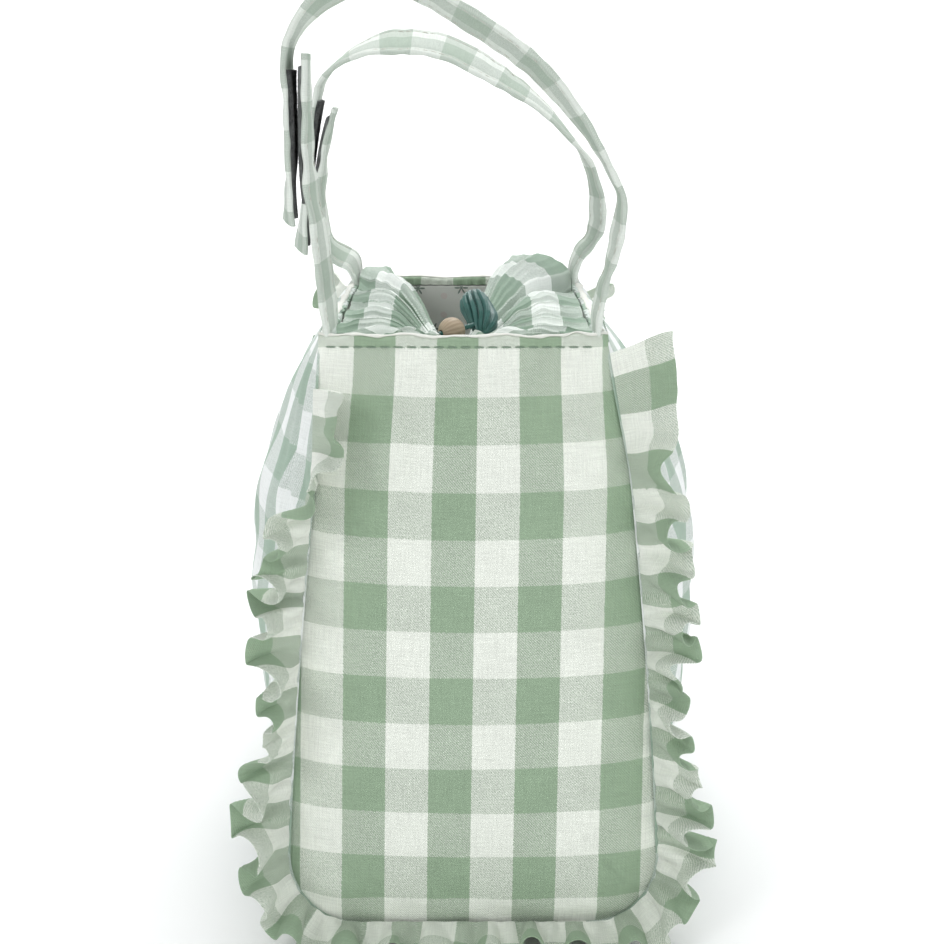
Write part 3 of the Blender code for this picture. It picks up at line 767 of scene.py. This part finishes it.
def plain_lining(name):
    """The lining's cloth seen edge on, without its print."""
    graph = Graph(name)
    uv, u, v = cloth_axes(graph)
    weave = graph.math("MULTIPLY", graph.math("SINE", graph.math("MULTIPLY", u, 260.0)), graph.math("SINE", graph.math("MULTIPLY", v, 260.0)))
    colour = graph.mix(graph.noise(uv, 6.0), (0.76, 0.77, 0.70), (0.90, 0.90, 0.86))
    return graph.finish(colour, graph.spread(weave, 0.8, 0.9), graph.spread(weave, 0.3, 0.7), 0.1 * MM, 0.5)


LINING_EDGE = plain_lining("lining_fold")


# ---------------------------------------------------------------- ruffles

RUFFLE_WIDTH = 22 * MM
RUFFLE_HALF_THICKNESS = 0.65 * MM
GREEN_EDGE_START = 12.5 * MM


def swing_between(along, crests):
    """The phase of pleats whose outermost folds are at the given places, and each pleat's own size."""
    places, sizes = np.array(crests, float).T
    places = places * MM
    return 2 * np.pi * np.interp(along, places, np.arange(len(places))) - np.pi / 2, np.interp(along, places, sizes)


def random_crests(seed, total, shortest, longest):
    rng = np.random.default_rng(seed)
    crests = [(-10.0, 0.3)]
    while crests[-1][0] < total / MM + longest:
        crests.append((crests[-1][0] + rng.uniform(shortest, longest), rng.uniform(0.6, 1.25)))
    return crests


# Distances are in millimetres from the rim's left end, round the bottom, to the rim's right end
FRONT_CRESTS = (
    [(-12, 0.1), (20, 0.12), (44, 0.4), (58, 0.9), (71, 0.6), (87, 1.15), (101, 0.6), (117, 1.1), (130, 0.5), (141, 0.5)]
    + [(157, 1.15), (178, 0.9), (191, 0.7), (204, 0.9), (221, 0.85), (238, 0.95), (256, 0.8), (273, 1.0), (291, 0.85)]
    + [(307, 0.95), (322, 0.7), (335, 0.8), (348, 1.2), (363, 0.8), (377, 0.6), (389, 0.7), (402, 0.6), (418, 1.1)]
    + [(433, 0.6), (450, 1.05), (468, 0.4), (500, 0.2), (545, 0.1)]
)
FRONT_LEAN = (
    [(0, 112), (38, 110), (49, 92), (62, 60), (86, 46), (112, 50), (126, 66), (142, 62), (150, 40), (176, 48), (203, 74)]
    + [(222, 84), (297, 84), (318, 72), (342, 42), (368, 46), (380, 60), (392, 66), (402, 58), (418, 46), (448, 44)]
    + [(475, 52), (490, 34), (502, 20), (520, 12)]
)


def ruffle_rows(facing, along, across):
    """The middle surface of a ruffle. along runs from the left top, round the bottom, to the right top."""
    left_top, right_top = (18 * MM, 6 * MM) if facing < 0 else (6 * MM, 8 * MM)
    total = 2 * (OUTLINE_LENGTH + CORNER_X)
    span = along * (total - left_top - right_top) + left_top
    from_middle = span - total / 2
    side = np.where(from_middle < 0, -1.0, 1.0)
    reach = np.abs(from_middle)
    bottom = reach < CORNER_X
    x, height, out_x, out_z = outline(OUTLINE_LENGTH - np.maximum(reach - CORNER_X, 0))
    x, height = np.where(bottom, reach, x), np.where(bottom, 0.0, height)
    down = np.where(bottom, 1.0, -out_z)
    out_x = np.where(bottom, 0.0, out_x)

    if facing < 0:
        crests = FRONT_CRESTS
        lean = np.interp(span / MM, *np.array(FRONT_LEAN, float).T) + 8 * (1 - down)
    else:
        crests = random_crests(9, total, 12, 22)
        lean = 50 + 14 * wander(span, 120 * MM, 3) * (1 - down)
        lean = lean + (84 - lean) * down**2
    phase, size = swing_between(span, crests)
    lean = np.radians(lean)
    sideways = stack(side * out_x, 0.0, -down)
    forwards = stack(0.0, facing, 0.0 * span)
    root = stack(
        side * (x + out_x * 0.4 * MM) + sway(height), facing * (half_depth(height) - 0.2 * MM + 1.4 * MM * down), height + 1.8 * MM * down
    )
    tangent = unit(np.gradient(root, axis=0))
    outwards = sideways * np.cos(lean)[:, None] + forwards * np.sin(lean)[:, None]
    outwards = unit(outwards - tangent * np.sum(outwards * tangent, axis=1, keepdims=True))
    swing_way = -facing * np.cross(outwards, tangent)

    gathered = across[None, :]
    slant = 0.55 * wander(span, 45 * MM, 77 if facing < 0 else 78)[:, None] * gathered
    turn = phase[:, None] + slant + 2.3 * np.clip(from_middle / (CORNER_X + CORNER), -1, 1)[:, None] * gathered
    deep = size[:, None]
    spacing = 2 * np.pi / np.gradient(phase, span)[:, None]
    swing = np.minimum(0.38 * spacing, 6.0 * MM) * deep * gathered**1.15
    push = swing * (np.sin(turn) - 0.42 * np.cos(turn) ** 2)
    push = push + 1.7 * MM * wander(span, 12 * MM, 5)[:, None] * gathered**0.8 * deep
    pinch = np.sin(2 * phase + 1.5 * wander(span, 60 * MM, 6))[:, None]
    push = push + 2.1 * MM * pinch * np.sqrt(gathered) * (1 - gathered) * np.minimum(deep, 0.9) * 1.6
    loop = -0.16 * np.minimum(spacing, 26 * MM) * np.clip(deep, 0, 1.1) * gathered**1.5
    slip = loop * np.sin(2 * turn + 0.35)
    tilt = np.sqrt(np.maximum((RUFFLE_WIDTH * gathered) ** 2 - (0.85 * push) ** 2, 0))
    tilt = tilt * (1 - 0.10 * np.clip(wander(span, 31 * MM, 8), 0, 1)[:, None] * np.minimum(deep, 1))
    push = push + (0.30 * swing + 2.0 * MM * gathered) * down[:, None]
    points = root[:, None] + outwards[:, None] * tilt[..., None]
    points = points + swing_way[:, None] * push[..., None] + tangent[:, None] * slip[..., None]
    if facing < 0:
        flag = blend_step(total - 26 * MM, total - 8 * MM, span)[:, None]
        points[..., 2] += 4.5 * MM * flag * gathered
    low = 1.5 * RUFFLE_HALF_THICKNESS
    under = np.minimum(points[..., 2] - 3 * MM, 0)
    points[..., 2] = np.where(under < 0, np.maximum(3 * MM + (3 * MM - low) * np.tanh(under / (3 * MM - low)), low), points[..., 2])
    return points


def add_ruffle(name, facing):
    """One gathered strip of doubled cloth, folded at its outer edge."""
    along = np.linspace(0, 1, 1100)
    across = np.linspace(0, 1, 15)
    points = ruffle_rows(facing, along, across)
    normals = grid_normals(points)
    thickness = RUFFLE_HALF_THICKNESS * np.sqrt(np.clip(1.02 - across**8, 0.02, 1))
    front = points + normals * thickness[None, :, None]
    back = points - normals * thickness[None, :, None]
    rings = np.concatenate([front, back[:, ::-1]], axis=1)
    steps = np.linalg.norm(np.diff(points[:, 10], axis=0), axis=1)
    flat = np.concatenate([[0], np.cumsum(steps)])
    width = across * RUFFLE_WIDTH
    v = 1 + (width - GREEN_EDGE_START) / CHECK
    v = np.concatenate([v, v[::-1], v[:1]])
    uv = np.stack(np.broadcast_arrays(flat[:, None] / CHECK + 0.4, v[None, :]), -1)
    ruffle = add_loft(f"{name}_gathered_ruffle", rings, uv, GINGHAM)
    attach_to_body(ruffle, "bag")
    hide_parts(f"{name}_ruffle")
    return float(flat[-1])


# ---------------------------------------------------------------- straps

STRAP_WIDTH = 26 * MM
STRAP_HALF = 1.1 * MM
ANCHOR_X = 46.5 * MM
STRAP_Y = 59 * MM

# (share of the width from the middle, share of the half thickness) once round the strap's section
SECTION_EDGE = 0.5
SECTION = (
    [(-0.5, 0.0), (-0.485, 0.62), (-0.45, 0.95), (-0.41, 0.85), (-0.375, 0.30), (-0.34, 0.80), (-0.22, 1.02), (0.0, 1.08)]
    + [(0.22, 1.02), (0.34, 0.80), (0.375, 0.30), (0.41, 0.85), (0.45, 0.95), (0.485, 0.62), (0.5, 0.0)]
)
STITCH_LINE = 0.375

HANDLES = {
    "front": {
        "y": -STRAP_Y,
        "arch": (
            [(46.2, 203.0), (46.5, 210.0), (47.8, 219.0), (50.3, 229.5), (52.3, 241.0), (53.1, 249.5), (50.4, 256.0)]
            + [(45.5, 264.8), (38.2, 275.7), (24.6, 291.2), (11.3, 301.3), (-2.0, 309.5), (-14.0, 316.6)]
            + [(-25.0, 319.2), (-36.0, 318.6), (-47.0, 313.9), (-54.0, 307.4), (-57.6, 302.0)]
        ),
        "arch_twist": ((0, 0), (0.10, 2), (0.2, -1), (0.28, 2), (0.36, -3), (0.48, -11), (0.62, -13), (0.8, -13), (0.93, -7), (1, 0)),
        "tail": ((-57.6, 302.0), (-58.9, 298.5), (-59.5, 292.0), (-59.4, 276.0), (-59.6, 262.0), (-60.4, 252.0), (-60.6, 241.5)),
        "tail_twist": ((0, 0), (0.3, 3), (0.6, 3), (1, 13)),
        "short": (
            [(-46.2, 203.0), (-46.6, 210.0), (-48.0, 219.0), (-49.3, 229.5), (-50.6, 240.0), (-52.3, 250.0)]
            + [(-53.2, 261.0), (-53.3, 278.0), (-53.0, 297.0)]
        ),
        "short_twist": ((0, 3), (0.25, 5), (0.6, 0), (1, -4)),
        "tape": (248, 294),
        "hooks": (244, 293),
    },
    "back": {
        "y": STRAP_Y,
        "arch": (
            [(46.2, 203.0), (46.5, 210.0), (48.6, 216.5), (52.6, 221.5), (55.0, 227.5), (55.3, 234.0), (54.4, 243.0)]
            + [(50.2, 255.5), (43.0, 264.7), (30.3, 277.9), (13.6, 289.3), (-3.0, 298.4), (-14.0, 302.0), (-25.0, 303.0)]
            + [(-36.0, 302.2), (-45.0, 299.2), (-53.0, 294.6), (-58.6, 289.5), (-61.2, 285.0)]
        ),
        "arch_twist": (
            (0, 0), (0.08, -3), (0.14, -8), (0.22, -7), (0.30, -1), (0.38, 4), (0.48, 12), (0.60, 21), (0.80, 22), (0.92, 6), (1, 0)
        ),
        "tail": ((-61.2, 285.0), (-62.7, 278.0), (-65.0, 265.0), (-67.2, 250.0), (-69.2, 235.0), (-71.2, 217.5)),
        "tail_twist": ((0, 0), (0.6, 4), (1, 16)),
        "short": (
            [(-46.2, 203.0), (-46.5, 208.0), (-48.6, 213.0), (-53.5, 215.8), (-58.4, 219.5), (-61.0, 227.0)]
            + [(-61.8, 237.0), (-61.4, 247.0), (-60.0, 257.0), (-57.8, 267.0), (-54.9, 276.5)]
        ),
        "short_twist": ((0, 0), (0.08, 5), (0.2, 12), (0.32, 4), (0.5, 0), (1, -3)),
        "tape": (240, 274),
        "hooks": (221, 280),
    },
}


def strap_frame(route, y, twists):
    """Centres, and the ways across and out of a strap. A twist in degrees turns the strap's far edge outwards."""
    flat, along = even_route(smooth_route(np.array(route) * MM, 12), 1.3 * MM)
    way = unit(np.gradient(flat, axis=0))
    centres = stack(flat[:, 0], y, flat[:, 1])
    ways = stack(way[:, 0], 0.0, way[:, 1])
    out = stack(way[:, 1], 0.0, -way[:, 0])
    twist = np.radians(np.interp(along / along[-1], *np.array(twists, float).T))
    wide = stack(0.0, 1.0, 0.0) * np.cos(twist)[:, None] + out * np.sin(twist)[:, None]
    out = unit(np.cross(wide, ways))
    return centres, wide, out, along


def strap_rings(centres, wide, out, along, seed, width=STRAP_WIDTH, half=STRAP_HALF):
    upper = np.array(SECTION)
    ring = np.concatenate([upper, upper[-2:0:-1] * (1, -1)])
    puff = 1 + 0.10 * wander(along, 13 * MM, seed)[:, None]
    nip = 1 + 0.012 * wander(along, 30 * MM, seed + 1)[:, None]
    offset = ring[None, :, 0] * width * nip
    rise = ring[None, :, 1] * half * puff
    ripple = 0.35 * MM * wander(along, 21 * MM, seed + 2)[:, None] * np.sign(ring[None, :, 0]) * np.abs(ring[None, :, 0])
    return centres[:, None] + wide[:, None] * offset[..., None] + out[:, None] * (rise + ripple)[..., None]


def strap_uv(along, start):
    """Rows of checks along a strap, whose green stripe runs a little off its middle."""
    upper = np.array(SECTION)[:, 0] * STRAP_WIDTH
    girth = np.concatenate([upper, (upper[-2:0:-1]), upper[:1]])
    v = (girth + 8.5 * MM) / (11.0 * MM) + 1.0
    return np.stack(np.broadcast_arrays((along[:, None] + start) / (13.2 * MM), v[None, :]), -1)


def strap_stitches(name, centres, wide, out, body_calls, ends=4):
    pieces = []
    for side_name, face in (("outer", 1.0), ("inner", -1.0)):
        for edge_name, edge in (("near", -1.0), ("far", 1.0)):
            line = centres + wide * edge * STITCH_LINE * STRAP_WIDTH + out * face * 0.62 * MM
            piece = stitch_along(
                f"{name}_{side_name}_{edge_name}_stitches", line[ends:-ends], (out * face)[ends:-ends], THREAD_CREAM, 3.4 * MM, 0.26, 0.24 * MM
            )
            pieces.append(piece)
    for piece in pieces:
        body_calls(piece)


def add_strap(name, centres, wide, out, along, start, seed, attach, nodes, blunt_end=True):
    rings = strap_rings(centres, wide, out, along, seed)
    uv = strap_uv(along, start)
    strap = add_loft(name, rings, uv, STRAP_GINGHAM)
    attach(strap)
    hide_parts(*nodes)
    strap_stitches(name, centres, wide, out, attach)
    return strap


def add_tape(name, centres, wide, out, near, material, body, node, seed, bumps):
    """Hook or loop tape: a woven backing with a raised pile on its face."""
    columns = 60
    width = 24 * MM
    across = np.linspace(-0.5, 0.5, columns)
    fine, _ = even_route(np.hstack([centres, wide, out]), 0.42 * MM)
    centres, wide, out = fine[:, :3], fine[:, 3:6], fine[:, 6:9]
    rng = np.random.default_rng(seed)
    pile = rng.uniform(0.0, bumps, (len(centres), columns)) * MM
    edge = np.minimum(blend_step(0, 0.05, 0.5 - np.abs(across))[None, :], blend_step(0, 3, np.minimum(np.arange(len(centres)), np.arange(len(centres))[::-1]))[:, None])
    base = centres[:, None] + wide[:, None] * (across * width)[None, :, None]
    face = base + out[:, None] * (near + (0.95 * MM + pile) * (0.35 + 0.65 * edge))[..., None]
    back = base + out[:, None] * near
    uv = np.stack(np.meshgrid(across, np.arange(len(centres)) / 40.0), -1)
    tape = add_slab(name, face, back, uv, uv, material)
    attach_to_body(tape, body)
    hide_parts(node)


def between(centres, low, high):
    return (centres[:, 2] >= low * MM) & (centres[:, 2] <= high * MM)


def add_handle(name, handle):
    body, tail_body = f"{name}_handle", f"{name}_tail"
    y = handle["y"]

    def foot_blend(piece):
        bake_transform(piece)

    centres, wide, out, along = strap_frame(handle["arch"], y, handle["arch_twist"])
    centres[:, 0] += RIM_SWAY * (1 - blend_step(RIM, RIM + 30 * MM, centres[:, 2]))
    arch_length = along[-1]
    nodes = [f"{name}_long_strap", f"{name}_right_strap_foot"]
    add_strap(f"{name}_arch_strap", centres, wide, out, along, 0.0, 61, foot_blend, nodes)

    def peel_blend(piece):
        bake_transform(piece)

    centres, wide, out, along = strap_frame(handle["tail"], y, handle["tail_twist"])
    add_strap(f"{name}_hanging_end", centres, wide, out, along, arch_length, 64, peel_blend, [f"{name}_strap_tail"])
    taped = between(centres, *handle["hooks"])
    add_tape(
        f"{name}_hook_face", centres[taped], wide[taped], -out[taped], STRAP_HALF * 0.9, HOOKS, tail_body, f"{name}_hook_tape", 3, 0.55
    )

    centres, wide, out, along = strap_frame(handle["short"], y, handle["short_twist"])
    centres[:, 0] += RIM_SWAY * (1 - blend_step(RIM, RIM + 30 * MM, centres[:, 2]))
    nodes = [f"{name}_short_strap", f"{name}_left_strap_foot"]
    add_strap(f"{name}_upright_strap", centres, wide, out, along, 0.0, 67, foot_blend, nodes)
    taped = between(centres, *handle["tape"])
    add_tape(
        f"{name}_loop_face", centres[taped], wide[taped], -out[taped], STRAP_HALF * 0.9, LOOPS, body, f"{name}_loop_tape", 9, 0.35
    )


# ---------------------------------------------------------------- collar

COLLAR_FRONT_Y = -66.6 * MM
COLLAR_RIM_Z = 200.5 * MM
COLLAR_TIP_Z = 197.5 * MM
COLLAR_DOME = 11 * MM


# Folds of a fan: (distance along the rim from its front end, height, half width), in millimetres
FANS = {
    "left": {
        "rim": [(-9, -66.6), (-28, -66.6), (-44.4, -64.5), (-44.4, -40), (-44.4, 0), (-44.4, 40), (-44, 58), (-38, 62), (-32, 61)],
        "rise": ((0, 0), (140, 0), (156, 4.0), (170, 7.0), (190, 7.0)),
        "folds": (
            [(3, 2.0, 3.0), (10, -1.5, 3.0), (17, 2.4, 3.5), (25, -2.0, 3.0), (33, 2.6, 4.0), (42, -2.4, 4.0), (53, 3.0, 6.0)]
            + [(66, -2.6, 5.0), (80, 2.4, 7.0), (95, -2.8, 5.0), (122, 4.5, 17.0), (147, -3.2, 5.0), (160, 3.0, 7.0), (172, -2.0, 4.0)]
        ),
        "tip": (-8.5, 3.5),
        "seed": 17,
        "uv": (0.35, 0.5),
    },
    "right": {
        "rim": [(3, -66.6), (24, -66.6), (44.4, -64.5), (44.4, -40), (44.4, 0), (44.4, 40), (44, 58), (33, 61), (20, 60)],
        "rise": ((0, 0), (150, 0), (164, 5.0), (176, 10.5), (190, 10.5), (200, 9.0)),
        "folds": (
            [(4, 2.2, 3.5), (12, -2.0, 3.5), (22, 2.6, 5.0), (33, -2.2, 4.0), (43, 2.6, 5.0), (55, -2.4, 5.0), (68, 2.4, 6.0)]
            + [(80, -2.2, 5.0), (106, 5.5, 19.0), (132, 2.0, 6.0), (150, -6.0, 8.0), (178, 4.5, 14.0)]
        ),
        "tip": (0.0, 5.0),
        "seed": 29,
        "uv": (0.9, 0.2),
    },
}


def collar_points(fan, side, turn_share, reach_share):
    """A fan of cloth from its gathered tip to the rim, with radial folds."""
    rim, along = even_route(smooth_route(np.array(fan["rim"]) * MM, 8), 0.5 * MM)
    place = turn_share * along[-1]
    rim_x, rim_y = (np.interp(place, along, rim[:, axis])[:, None] for axis in range(2))
    place = place[:, None] / MM
    tip_x, tip_radius = (value * MM for value in fan["tip"])
    v = reach_share[None, :]
    angle = np.pi * turn_share[:, None]
    start_x = tip_x + side * np.sin(angle) * tip_radius
    start_y = -50 * MM - np.cos(angle) * tip_radius
    x = start_x + (rim_x - start_x) * v
    y = start_y + (rim_y - start_y) * v
    rise = np.interp(place, *np.array(fan["rise"], float).T) * MM
    dome = COLLAR_DOME * (0.22 + 0.5 * np.sin(0.5 * np.pi * turn_share[:, None]))
    z = COLLAR_TIP_Z + (COLLAR_RIM_Z - COLLAR_TIP_Z) * v + dome * 16 * v**2 * (1 - v) ** 2 + rise * v**1.5
    fold = sum(1.15 * height * hump(place, centre, half_width) for centre, height, half_width in fan["folds"])
    fold = fold + 0.9 * (1 - 2 * np.abs(wander(place, 15.0, fan["seed"])))
    spread = v**0.75 * (1 - 0.7 * v**4) * np.where(rise > 4 * MM, 1.0, 1 - 0.25 * v**4)
    z = z + fold * MM * spread
    z = z + 0.35 * MM * wander(x, 14 * MM, fan["seed"] + 3, y, 18 * MM) * v * (1 - v) * 4
    twist = 1.5 * MM * np.gradient(fold[:, 0])[:, None] / max(np.abs(np.gradient(fold[:, 0])).max(), 1e-9) * spread
    y = np.clip(y + twist, COLLAR_FRONT_Y, None)
    return stack(x + RIM_SWAY * v, y, z + (0.6 + 2.5 * v**3) * MM)


def add_collar(name, side, body):
    fan = FANS[name]
    points = collar_points(fan, side, np.linspace(0, 1, 300), np.linspace(0, 1, 50))
    steps = np.linalg.norm(np.diff(points[:, 36], axis=0), axis=1)
    flat = np.concatenate([[0], np.cumsum(steps)])
    across = np.concatenate([[0], np.cumsum(np.linalg.norm(np.diff(points[150], axis=0), axis=1))])
    u = flat[:, None] / CHECK + fan["uv"][0] + 0 * across[None, :]
    v = across[None, :] / CHECK * 0.95 + fan["uv"][1] + 0 * flat[:, None]
    piece = add_sheet(f"{name}_gathered_fan", points, np.stack([v, u], -1), COLLAR_GINGHAM)
    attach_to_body(piece, body)
    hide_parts(f"{name}_collar")


# ---------------------------------------------------------------- drawcord, bead and tassel

CORD_START = np.array([-9.8, -57.5, 202.6]) * MM
CORD_END = np.array([4.0, -47.5, 204.5]) * MM
BEAD_CENTRE = CORD_START + (CORD_END - CORD_START) * 0.335
BEAD_RADIUS = 4.8 * MM
BORE_RADIUS = 1.4 * MM
CORD_RADIUS = 1.0 * MM
CORD_WAY = unit(CORD_END - CORD_START)
TASSEL_WAY = unit(np.array([-2.6, 16.5, 5.6]))


def axes_along(way):
    side = unit(np.cross(way, np.array([0.0, 0.0, 1.0])))
    return side, np.cross(side, way)


def add_bead():
    side, up = axes_along(CORD_WAY)
    first = math.asin(BORE_RADIUS / BEAD_RADIUS)
    arc = np.linspace(first, math.pi - first, 28)
    radii = list(BEAD_RADIUS * np.sin(arc) * (1 + 0.0 * arc))
    places = list(-BEAD_RADIUS * np.cos(arc))
    radii = [BORE_RADIUS * 0.98] + radii + [BORE_RADIUS * 0.98]
    places = [places[0] + 0.5 * MM] + places + [places[-1] - 0.5 * MM]
    turns = 2 * np.pi * np.arange(48) / 48
    spokes = np.cos(turns)[:, None] * side + np.sin(turns)[:, None] * up
    rings = BEAD_CENTRE + spokes[:, None] * np.array(radii)[None, :, None] + CORD_WAY * np.array(places)[None, :, None]
    closed = np.concatenate([rings, rings[:1]])
    count = rings.shape[1]
    uv = np.stack(np.meshgrid(np.linspace(0, 1, count + 1), np.linspace(0, 4, len(closed))), -1)
    points = rings.reshape(-1, 3)
    row, column = np.meshgrid(np.arange(len(rings)), np.arange(count), indexing="ij")
    row, column = row.ravel(), column.ravel()
    next_row, next_column = (row + 1) % len(rings), (column + 1) % count
    faces = np.stack([row * count + column, row * count + next_column, next_row * count + next_column, next_row * count + column], -1)
    face_uv = np.stack([uv[row, column], uv[row, column + 1], uv[row + 1, column + 1], uv[row + 1, column]], 1)[..., ::-1]
    bead = add_mesh("turned_bead", points, faces, face_uv, WOOD)
    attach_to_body(bead, "bead")
    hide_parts("wooden_bead")
    return bead


def add_tassel():
    """A tuft of gathered satin: deep strands that run from its foot to its rounded top."""
    foot = CORD_END + np.array([2.4, -2.4, -3.2]) * MM
    top = CORD_END + np.array([-1.2, 14.5, 9.5]) * MM
    way = unit(top - foot)
    side, up = axes_along(way)
    share = np.linspace(0, 1, 90)
    girth = np.interp(share, (0, 0.05, 0.14, 0.34, 0.60, 0.80, 0.92, 0.98, 1.0), (1.6, 3.2, 4.2, 5.3, 5.5, 4.8, 3.4, 1.9, 0.5)) * MM
    turns = 2 * np.pi * np.arange(180) / 180
    swirl = turns[None, :] + 0.7 * np.sin(2.2 * share)[:, None]
    strands = np.abs(np.sin(swirl * 5 + 1.1 * np.sin(2 * swirl + 1.0)))
    radius = girth[:, None] * (0.72 + 0.36 * strands**0.6 + 0.035 * np.cos(swirl * 26 + 1.0))
    spokes = np.cos(turns)[:, None] * side + np.sin(turns)[:, None] * up * 0.85
    sway_side = side * 0.8 * MM
    centres = foot + (top - foot) * share[:, None] + sway_side * np.sin(2 * np.pi * share)[:, None]
    rings = centres[:, None] + spokes[None] * radius[..., None]
    uv = np.stack(np.meshgrid(np.linspace(0, 3, 181), share * 2), -1)
    tassel = add_loft("gathered_satin_tassel", rings, uv, SATIN)
    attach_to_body(tassel, "right_fan")
    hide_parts("satin_tassel")
    return tassel


def add_cord():
    """The drawcord: two twisted strands, from its knot, through the bead and into the tassel."""
    side, up = axes_along(CORD_WAY)
    line = np.array([CORD_START + (CORD_END - CORD_START) * step / 20 for step in range(20)])
    line = np.concatenate([line, [CORD_END + TASSEL_WAY * step * MM for step in range(17)]])
    line, along = even_route(line, 0.3 * MM)
    turns = 2 * np.pi * np.arange(24) / 24
    lay = 2 * np.pi * along / (3.2 * MM)
    radius = CORD_RADIUS * (0.86 + 0.14 * np.abs(np.cos(turns[None, :] - lay[:, None])))
    spokes = np.cos(turns)[:, None] * side + np.sin(turns)[:, None] * up
    rings = line[:, None] + spokes[None] * radius[..., None]
    uv = np.stack(np.meshgrid(np.linspace(0, 1, 25), along / (8 * MM)), -1)
    cord = add_loft("twisted_drawcord", rings, uv, SATIN)
    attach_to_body(cord, "right_fan")
    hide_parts("drawcord")

    share = np.linspace(0, 1, 22)
    centre = CORD_START - CORD_WAY * 0.3 * MM
    girth = 2.1 * MM * np.sqrt(np.clip(1 - (2 * share - 1) ** 2, 0.02, 1))
    wraps = 1 + 0.10 * np.sin(turns[None, :] * 2 + 14 * share[:, None])
    rings = centre - CORD_WAY * (share * 3.6 * MM)[:, None, None] + spokes[None] * (girth[:, None] * wraps)[..., None]
    uv = np.stack(np.meshgrid(np.linspace(0, 1, 25), share), -1)
    knot = add_loft("drawcord_end_knot", rings, uv, SATIN)
    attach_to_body(knot, "right_fan")
    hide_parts("drawcord_knot")


# ---------------------------------------------------------------- stage

def add_light(name, place, target, size, power, colour=(1, 1, 1)):
    data = bpy.data.lights.new(name, "AREA")
    data.shape = "DISK"
    data.size = size
    data.energy = power
    data.color = colour
    lamp = bpy.data.objects.new(name, data)
    lamp.location = place
    lamp.rotation_euler = (Vector(target) - Vector(place)).to_track_quat("-Z", "Y").to_euler()
    bpy.context.collection.objects.link(lamp)


def add_stage():
    graph = Graph("studio_floor")
    coordinates = graph.node("TexCoord").outputs["Object"]
    colour = graph.mix(graph.noise(coordinates, 2.0), (0.90, 0.90, 0.90), (0.93, 0.93, 0.93))
    floor_material = graph.finish(colour, 0.8)
    sweep = [(-3.0, 0.0), (1.0, 0.0)]
    sweep += [(1.0 + 0.8 * math.sin(turn), 0.8 - 0.8 * math.cos(turn)) for turn in np.linspace(0.1, math.pi / 2, 14)]
    sweep += [(1.8, 3.0)]
    points = [(x, y, z - 0.1 * MM) for y, z in sweep for x in (-3.0, 3.0)]
    mesh = bpy.data.meshes.new("floor")
    mesh.from_pydata(points, [], [(2 * i, 2 * i + 1, 2 * i + 3, 2 * i + 2) for i in range(len(sweep) - 1)])
    mesh.shade_smooth()
    mesh.materials.append(floor_material)
    floor = bpy.data.objects.new("floor", mesh)
    bpy.context.collection.objects.link(floor)

    world = bpy.data.worlds.new("studio")
    world.use_nodes = True
    background = world.node_tree.nodes["Background"]
    background.inputs["Color"].default_value = (0.97, 0.985, 1.0, 1.0)
    background.inputs["Strength"].default_value = 0.62
    bpy.context.scene.world = world
    add_light("key", (-0.85, -1.0, 0.95), (0, 0, 0.08), 0.5, 3.9)
    add_light("fill", (0.6, -1.0, 0.06), (0, 0, 0.05), 0.7, 3.5)
    add_light("top", (0.15, 0.25, 1.2), (0, 0, 0.15), 0.5, 2.2)
    add_light("backdrop", (0, 1.0, 1.9), (0, 1.8, 0.6), 1.0, 30)
    bpy.context.scene.view_settings.view_transform = "Standard"

    data = bpy.data.cameras.new("photo_view")
    data.lens = 53.4
    data.sensor_width = 36
    camera = bpy.data.objects.new("photo_view", data)
    camera.location = (2 * MM, -543 * MM, 291.6 * MM)
    camera.rotation_euler = (math.radians(90 - 16), 0, 0)
    bpy.context.collection.objects.link(camera)
    bpy.context.scene.camera = camera


add_stage()
the_bead = add_bead()
the_tassel = add_tassel()
add_cord()
for panel_name, panel_facing in (("front", -1.0), ("back", 1.0)):
    add_panel(panel_name, panel_facing)
for side_name, side_sign in (("left", -1.0), ("right", 1.0)):
    add_side(side_name, side_sign)
add_base()
add_hems()
for ruffle_name, ruffle_facing in (("front", -1.0), ("back", 1.0)):
    add_ruffle(ruffle_name, ruffle_facing)
for handle_name, handle_sizes in HANDLES.items():
    add_handle(handle_name, handle_sizes)
add_collar("left", -1.0, "left_fan")
add_collar("right", 1.0, "right_fan")
